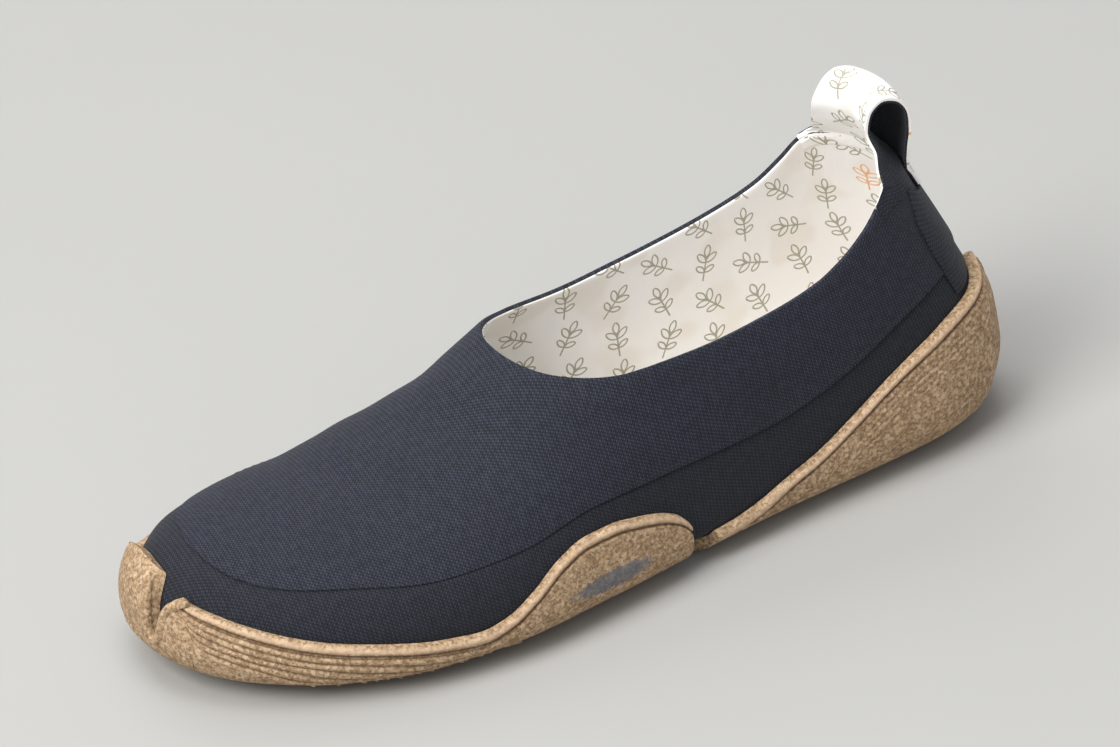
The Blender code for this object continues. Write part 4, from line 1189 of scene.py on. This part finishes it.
loopOuter, loopInner, loopUv = loopFaces(pullLoop)
loopMiddle = loopOuter + (loopInner - loopOuter) * pullLoop["liningShare"]
loopLining = bandPiece("pull_loop_lining", (loopOuter, loopMiddle), loopUv[..., ::-1], printedLining, 0.0)
# the loop's navy face is almost all the canvas's painted shade
loopInside = bandPiece("pull_loop_inside", (loopMiddle, loopInner), loopUv, navyCanvas, 0.1)
print("pull loop made")

# Tread ridges that follow level lines round the ball and the heel, and stitches, by Geometry Nodes
tread = {
    "pitch": 2.3,
    "cell": 1.3,
    "radius": 0.55,
    "sides": 6,
    # ring centres of the pattern: x, y, stretch along and across
    "centres": ((-62.0, 14.0, 1.25, 1.0), (-10.0, -20.0, 1.7, 1.0), (86.0, 0.0, 1.2, 1.0)),
    "soft": 6.0,
    "margin": 4.0,
    "halfWidth": 54.0,
    "steepest": 1.0,
    "weld": 0.05,
    "highest": 12.0,
    "start": -50.0,
    "facing": 0.92,
}


def addInput(tree, name, kind):
    return tree.interface.new_socket(name=name, in_out="INPUT", socket_type=kind)


def startTree(name):
    tree = bpy.data.node_groups.new(name, "GeometryNodeTree")
    tree.is_modifier = True
    addInput(tree, "Geometry", "NodeSocketGeometry")
    tree.interface.new_socket(name="Geometry", in_out="OUTPUT", socket_type="NodeSocketGeometry")
    return tree, tree.nodes.new("NodeGroupInput"), tree.nodes.new("NodeGroupOutput")


def endTree(tree, geometry, material, output):
    real = addNode(tree, "GeometryNodeRealizeInstances", {0: geometry}).outputs[0]
    worn = addNode(tree, "GeometryNodeSetMaterial", {0: real, "Material": material}).outputs[0]
    tree.links.new(worn, output.inputs[0])


def ribTree(material):
    tree, given, output = startTree("ribsAlongPaths")
    addInput(tree, "Radius", "NodeSocketFloat")
    addInput(tree, "Sides", "NodeSocketInt")
    sizes = given.outputs
    curve = addNode(tree, "GeometryNodeMeshToCurve", {"Mesh": sizes["Geometry"]}).outputs[0]
    ring = {"Radius": sizes["Radius"], "Resolution": sizes["Sides"]}
    ring = addNode(tree, "GeometryNodeCurvePrimitiveCircle", ring).outputs[0]
    tube = {"Curve": curve, "Profile Curve": ring, "Fill Caps": True}
    tube = addNode(tree, "GeometryNodeCurveToMesh", tube).outputs[0]
    endTree(tree, tube, material, output)
    return tree


def stitchTree(material):
    tree, given, output = startTree("stitchesAlongPaths")
    for name in ("Pitch", "Length", "Radius"):
        addInput(tree, name, "NodeSocketFloat")
    sizes = given.outputs
    curve = addNode(tree, "GeometryNodeMeshToCurve", {"Mesh": sizes["Geometry"]}).outputs[0]
    spaced = {"Curve": curve, "Length": sizes["Pitch"]}
    spaced = addNode(tree, "GeometryNodeResampleCurve", spaced, mode="LENGTH").outputs[0]
    thread = {"Segments": 6, "Rings": 5, "Radius": sizes["Radius"]}
    thread = addNode(tree, "GeometryNodeMeshUVSphere", thread).outputs[0]
    stretch = calc(tree, "DIVIDE", sizes["Length"], sizes["Radius"])
    size = addNode(tree, "ShaderNodeCombineXYZ", {0: 1.0, 1: 1.0, 2: stretch}).outputs[0]
    heading = tree.nodes.new("GeometryNodeInputTangent").outputs[0]
    turn = addNode(tree, "FunctionNodeAlignRotationToVector", {"Vector": heading}, axis="Z").outputs[0]
    sewn = {"Points": spaced, "Instance": thread, "Rotation": turn, "Scale": size}
    sewn = addNode(tree, "GeometryNodeInstanceOnPoints", sewn).outputs[0]
    endTree(tree, sewn, material, output)
    return tree


def grown(name, verts, edges, tree, sizes):
    # runs a tree on a net of edges and keeps the result as a plain mesh
    data = bpy.data.meshes.new(name)
    data.from_pydata([tuple(v) for v in verts], [tuple(e) for e in edges], [])
    piece = addObject(name, data)
    modifier = piece.modifiers.new(name, "NODES")
    modifier.node_group = tree
    for socket in tree.interface.items_tree:
        if socket.in_out == "INPUT" and socket.name in sizes:
            modifier[socket.identifier] = sizes[socket.name]
    applied(piece)
    return piece


def netOf(lines):
    verts, edges = [], []
    for line in lines:
        edges.extend((len(verts) + k, len(verts) + k + 1) for k in range(len(line) - 1))
        verts.extend(line)
    return verts, edges


def levelLines(xs, ys, field, pitch):
    # marching triangles: the edges of all level lines of a field over a grid
    gridX, gridY = np.meshgrid(xs, ys, indexing="ij")
    corner = np.stack([gridX, gridY, field], -1)
    a, b, c, d = corner[:-1, :-1], corner[1:, :-1], corner[1:, 1:], corner[:-1, 1:]
    triangles = np.concatenate([np.stack(t, -2).reshape(-1, 3, 3) for t in ((a, b, c), (a, c, d))])
    points, edges = [], []
    for level in np.arange(math.floor(field.min() / pitch) + 1, math.floor(field.max() / pitch) + 1) * pitch:
        value = triangles[:, :, 2] - level
        crossed = np.abs(np.sum(value > 0, axis=1) - 1.5) < 1.0
        for shape, rise in zip(triangles[crossed], value[crossed]):
            ends = []
            for i in range(3):
                j = (i + 1) % 3
                if (rise[i] > 0) != (rise[j] > 0):
                    t = rise[i] / (rise[i] - rise[j])
                    ends.append(shape[i, :2] + (shape[j, :2] - shape[i, :2]) * t)
            edges.append((len(points), len(points) + 1))
            points.extend(ends)
    return np.array(points), np.array(edges)


def makeTread(spec):
    reachX, reachY = shoeLength / 2 + spec["margin"] * mm, spec["halfWidth"] * mm
    xs = np.arange(-reachX, reachX, spec["cell"] * mm)
    ys = np.arange(-reachY, reachY, spec["cell"] * mm)
    gridX, gridY = np.meshgrid(xs, ys, indexing="ij")
    rings = [
        np.hypot((gridX - x * mm) / along, (gridY - y * mm) / across)
        for x, y, along, across in spec["centres"]]
    soft = spec["soft"] * mm
    field = -soft * np.log(sum(np.exp(-ring / soft) for ring in rings))
    points, edges = levelLines(xs, ys, field, spec["pitch"] * mm)
    under = BVHTree.FromObject(solePiece, bpy.context.evaluated_depsgraph_get())
    placed, good = np.zeros((len(points), 3)), np.zeros(len(points), bool)
    for k, (x, y) in enumerate(points):
        hit, normal, _, _ = under.ray_cast(Vector((x, y, spec["start"] * mm)), Vector((0, 0, 1)))
        if hit is not None and normal.z < -spec["facing"] and hit.z < spec["highest"] * mm:
            placed[k] = hit
            good[k] = True
    edges = edges[good[edges].all(axis=1)]
    close = np.abs(placed[edges[:, 0], 2] - placed[edges[:, 1], 2]) < spec["steepest"] * mm
    body = bmesh.new()
    verts = [body.verts.new(point) for point in placed]
    for first, second in edges[close]:
        body.edges.new((verts[first], verts[second]))
    bmesh.ops.delete(body, geom=[v for v in body.verts if not v.link_edges], context="VERTS")
    bmesh.ops.remove_doubles(body, verts=body.verts, dist=spec["weld"] * mm)
    body.verts.index_update()
    net = [v.co.copy() for v in body.verts]
    links = [(e.verts[0].index, e.verts[1].index) for e in body.edges]
    body.free()
    sizes = {"Radius": spec["radius"] * mm, "Sides": spec["sides"]}
    return grown("tread_ridges", net, links, ribTree(corkRubber), sizes)


treadPiece = makeTread(tread)
print("tread made,", len(treadPiece.data.polygons), "faces")

# Rolled beads along the cut edges of the sole, laid on it along an axis from outside: how far out from the
# cut, radius, how far sunk, how square the wall has to face, and how far the rays reach
beads = {
    "toe": {"axis": 0, "from": -1, "out": 1.1, "radius": 1.8, "sunk": 0.9, "facing": 0.12, "reach": 100.0},
    "heel": {"axis": 0, "from": 1, "out": 1.1, "radius": 1.4, "sunk": 0.8, "facing": 0.12, "reach": 100.0},
    "under": {"axis": 2, "from": -1, "out": 1.3, "radius": 0.45, "sunk": 0.0, "facing": 0.85, "reach": 212.0},
    "start": 200.0,
    "longest": 4.0,
    "fewest": 5,
    "step": 0.8,
    "sides": 10,
}


def grownOutline(outline, out):
    # the outline moved out sideways, for a line that runs on the solid side of a cut
    along = unit(np.gradient(outline, axis=0))
    across = np.stack([along[:, 1], -along[:, 0]], -1)
    swept = outline[:, 0] * np.roll(outline[:, 1], -1) - np.roll(outline[:, 0], -1) * outline[:, 1]
    return outline + across * out * (1.0 if swept.sum() > 0 else -1.0)


def evenOutline(outline, step):
    # a closed outline with its points an even step apart
    closed = np.vstack([outline, outline[:1]])
    knots = lengthsAlong(closed)
    spread = np.arange(0.0, knots[-1], step)
    return np.stack([np.interp(spread, knots, column) for column in closed.T], -1)


def castLine(surface, points, bead):
    # the line as it lies on the sole, in runs that break where a ray meets no wall of the right facing
    heading = Vector(np.insert(np.zeros(2), bead["axis"], -bead["from"]))
    start, reach = bead["from"] * beads["start"] * mm, bead["reach"] * mm
    runs = [[]]
    for point in points:
        hit, normal, _, _ = surface.ray_cast(Vector(np.insert(point, bead["axis"], start)), heading, reach)
        if hit is None or normal.dot(heading) > -bead["facing"]:
            runs.append([])
            continue
        hit = hit - normal * (bead["sunk"] * mm)
        if runs[-1] and (hit - runs[-1][-1]).length > beads["longest"] * mm:
            runs.append([])
        runs[-1].append(hit)
    return [run for run in runs if len(run) > beads["fewest"]]


def makeBeads(spec):
    surface = BVHTree.FromObject(solePiece, bpy.context.evaluated_depsgraph_get())
    outlines = (
        ("toe", smoothLine(sole["toeNotch"], 140) * mm),
        ("heel", smoothLine(sole["heelNotch"], 140) * mm),
        ("under", slitOutline(160)),
        ("under", evenOutline(pocketOutline(20), spec["step"] * mm)),
    )
    made = []
    for name, outline in outlines:
        runs = castLine(surface, grownOutline(outline, spec[name]["out"] * mm), spec[name])
        sizes = {"Radius": spec[name]["radius"] * mm, "Sides": spec["sides"]}
        made.append(grown("sole_bead", *netOf(runs), ribTree(corkRubber), sizes))
    whole = made[0]
    with bpy.context.temp_override(
            active_object=whole, object=whole, selected_objects=made, selected_editable_objects=made):
        bpy.ops.object.join()
    whole.name = "sole_beads"
    whole.data.name = "sole_beads"
    return whole


beadPiece = makeBeads(beads)
print("beads made,", len(beadPiece.data.polygons), "faces")

stitching = {
    "pitch": 2.7,
    "length": 0.85,
    "radius": 0.14,
    "aboveSeam": 1.5,
    "proud": 0.02,
    "foldShare": 0.68,
    "points": 260,
    "span": (0.052, 0.84),
    "colour": (0.012, 0.014, 0.020),
    "twist": 2600.0,
    "bump": (0.05 * mm, 0.6),
    "finish": {"Roughness": 0.7},
}


def makeThread(spec):
    material, tree, shader = startMaterial("navyThread")
    twist = noise(tree, objectPlace(tree), spec["twist"])
    pale = tuple(1.7 * value for value in spec["colour"])
    dress(tree, shader, mixColour(tree, twist, spec["colour"], pale), spec["finish"])
    bump(tree, shader, twist, *spec["bump"])
    return material


def makeStitches(spec):
    lines = []
    for side in (lateral, medial):
        line = []
        for angle in np.linspace(*stationAngle(spec["span"]), spec["points"]):
            girth = float(seamCurves["girth"](angle)) + spec["aboveSeam"] * mm
            turn = float(turnAtGirth(angle, side, girth))
            across = side * (float(girthAtTurn(angle, side, 0.0)) - girth)
            fold = float(creaseOffset(angle, np.array(across))) * spec["foldShare"]
            proud = float(seamCurves["step"](angle)) + fold
            line.append(offsetSkin(angle, turn, side, proud + spec["proud"] * mm))
        lines.append(line)
    sizes = {name.capitalize(): spec[name] * mm for name in ("pitch", "length", "radius")}
    return grown("seam_stitches", *netOf(lines), stitchTree(makeThread(spec)), sizes)


stitchPiece = makeStitches(stitching)
print("stitches made")

# Everything goes from the last's own frame to the frame of the row
pieces = {
    upperCloth: ("upper", "navy_fabric"),
    upperLining: (None, "lining_fabric"),
    bottomPiece: ("bottom_panel", "navy_fabric"),
    insolePiece: ("insole", "lining_fabric"),
    solePiece: ("outsole", "cork_rubber"),
    heelTapePiece: ("heel_strip", "navy_fabric"),
    loopLining: ("pull_loop", "lining_fabric"),
    loopInside: (None, "navy_fabric"),
    treadPiece: (None, "cork_rubber"),
    beadPiece: (None, "cork_rubber"),
    stitchPiece: (None, "navy_fabric"),
}


def shiftToRow():
    # the CAD upper keeps its toe tip and both its sides on the same last
    clothPoints = np.array([v.co for v in upperCloth.data.vertices])
    boxLow, boxHigh = (np.array(corner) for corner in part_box("upper"))
    across = (boxLow[1] + boxHigh[1]) / 2 - (clothPoints[:, 1].min() + clothPoints[:, 1].max()) / 2
    return np.array([boxLow[0] - clothPoints[:, 0].min(), across, 0.0])


shift = shiftToRow()
for piece, (node, slotName) in pieces.items():
    piece.data.transform(Matrix.Translation(Vector(shift)))
    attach(piece, "root")
    if node:
        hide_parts(node)
print("shift to the row frame, mm:", np.round(shift * 1000, 3).tolist())

# Floor, light and camera
studio = {
    "floor": (0.405, 0.40, 0.382),
    "floorMottle": (6.0, 3.0),
    "floorFinish": {"Roughness": 0.9},
    "floorHalf": 4.0,
    "world": (0.94, 0.955, 1.0),
    "worldStrength": 0.5,
    # name, place, aim, size, watts
    "lights": (
        ("key", (-1.35, -0.45, 1.75), (0.0, 0.0, 0.03), 1.3, 46.0),
        ("fill", (0.2, -1.2, 0.8), (0.0, 0.0, 0.03), 1.2, 1.6),
        ("back", (0.1, 1.0, 1.1), (0.0, 0.0, 0.05), 0.9, 5.0),
        ("top", (0.0, -0.15, 1.9), (0.03, 0.0, 0.05), 1.0, 15.0),
    ),
}


def makeFloor(spec):
    material, tree, shader = startMaterial("paleFloor")
    mottle = noise(tree, objectPlace(tree), *spec["floorMottle"])
    darker = tuple(0.96 * value for value in spec["floor"])
    dress(tree, shader, mixColour(tree, mottle, darker, spec["floor"]), spec["floorFinish"])
    half = spec["floorHalf"]
    corners = [(-half, -half, 0), (half, -half, 0), (half, half, 0), (-half, half, 0)]
    data = bpy.data.meshes.new("floor")
    data.from_pydata(corners, [], [(0, 1, 2, 3)])
    data.materials.append(material)
    addObject("floor", data)


def makeLights(spec):
    for name, place, aim, size, watts in spec["lights"]:
        data = bpy.data.lights.new(name, "AREA")
        data.size, data.energy = size, watts
        lamp = addObject(name, data)
        lamp.location = place
        lamp.rotation_euler = (Vector(aim) - Vector(place)).to_track_quat("-Z", "Y").to_euler()
    world = bpy.data.worlds.new("softRoom")
    world.use_nodes = True
    sky = world.node_tree.nodes["Background"]
    sky.inputs["Color"].default_value = (*spec["world"], 1.0)
    sky.inputs["Strength"].default_value = spec["worldStrength"]
    bpy.context.scene.world = world


# The photo's camera, found from the shoe's landmarks, then turned and zoomed to frame the one shoe
photo = {
    "size": (1120, 747),
    "lens": 85.0,
    "sensor": 36.0,
    "azimuth": -19.113,
    "elevation": 35.916,
    "roll": -9.934,
    "pixelsPerMm": 1.704,
    "targetPixel": (548.281, 242.696),
    "target": (0.0, 0.0, 35.0),
    "aimPixel": (543.5, 216.5),
    "zoom": 2.05,
}


def makeCamera(spec):
    azimuth, elevation, roll = (math.radians(spec[name]) for name in ("azimuth", "elevation", "roll"))
    focal = spec["lens"] / spec["sensor"] * spec["size"][0]
    centre = np.array(spec["size"]) / 2
    level = math.cos(elevation)
    back = np.array([math.sin(azimuth) * level, -math.cos(azimuth) * level, math.sin(elevation)])
    right = unit(np.cross(-back, (0.0, 0.0, 1.0)))
    upright = np.stack([right, np.cross(-back, right), -back])
    cosine, sine = math.cos(roll), math.sin(roll)
    axes = np.array([[cosine, -sine, 0.0], [sine, cosine, 0.0], [0.0, 0.0, 1.0]]) @ upright
    seen = np.array([*(np.array(spec["targetPixel"]) - centre), focal]) / spec["pixelsPerMm"] * mm
    place = np.array(spec["target"]) * mm - axes.T @ seen + shift
    ahead = unit(axes.T @ np.array([*(np.array(spec["aimPixel"]) - centre), focal]))
    down = unit(axes[1] - ahead * axes[1].dot(ahead))
    aimed = np.stack([np.cross(down, ahead), -down, -ahead], -1)
    data = bpy.data.cameras.new("camera")
    data.sensor_width, data.lens = spec["sensor"], spec["lens"] * spec["zoom"]
    camera = addObject("camera", data)
    camera.matrix_world = Matrix.Translation(Vector(place)) @ Matrix(aimed.tolist()).to_4x4()
    bpy.context.scene.camera = camera


makeFloor(studio)
makeLights(studio)
makeCamera(photo)
bpy.context.scene.view_settings.view_transform = "Standard"
print("stage made")
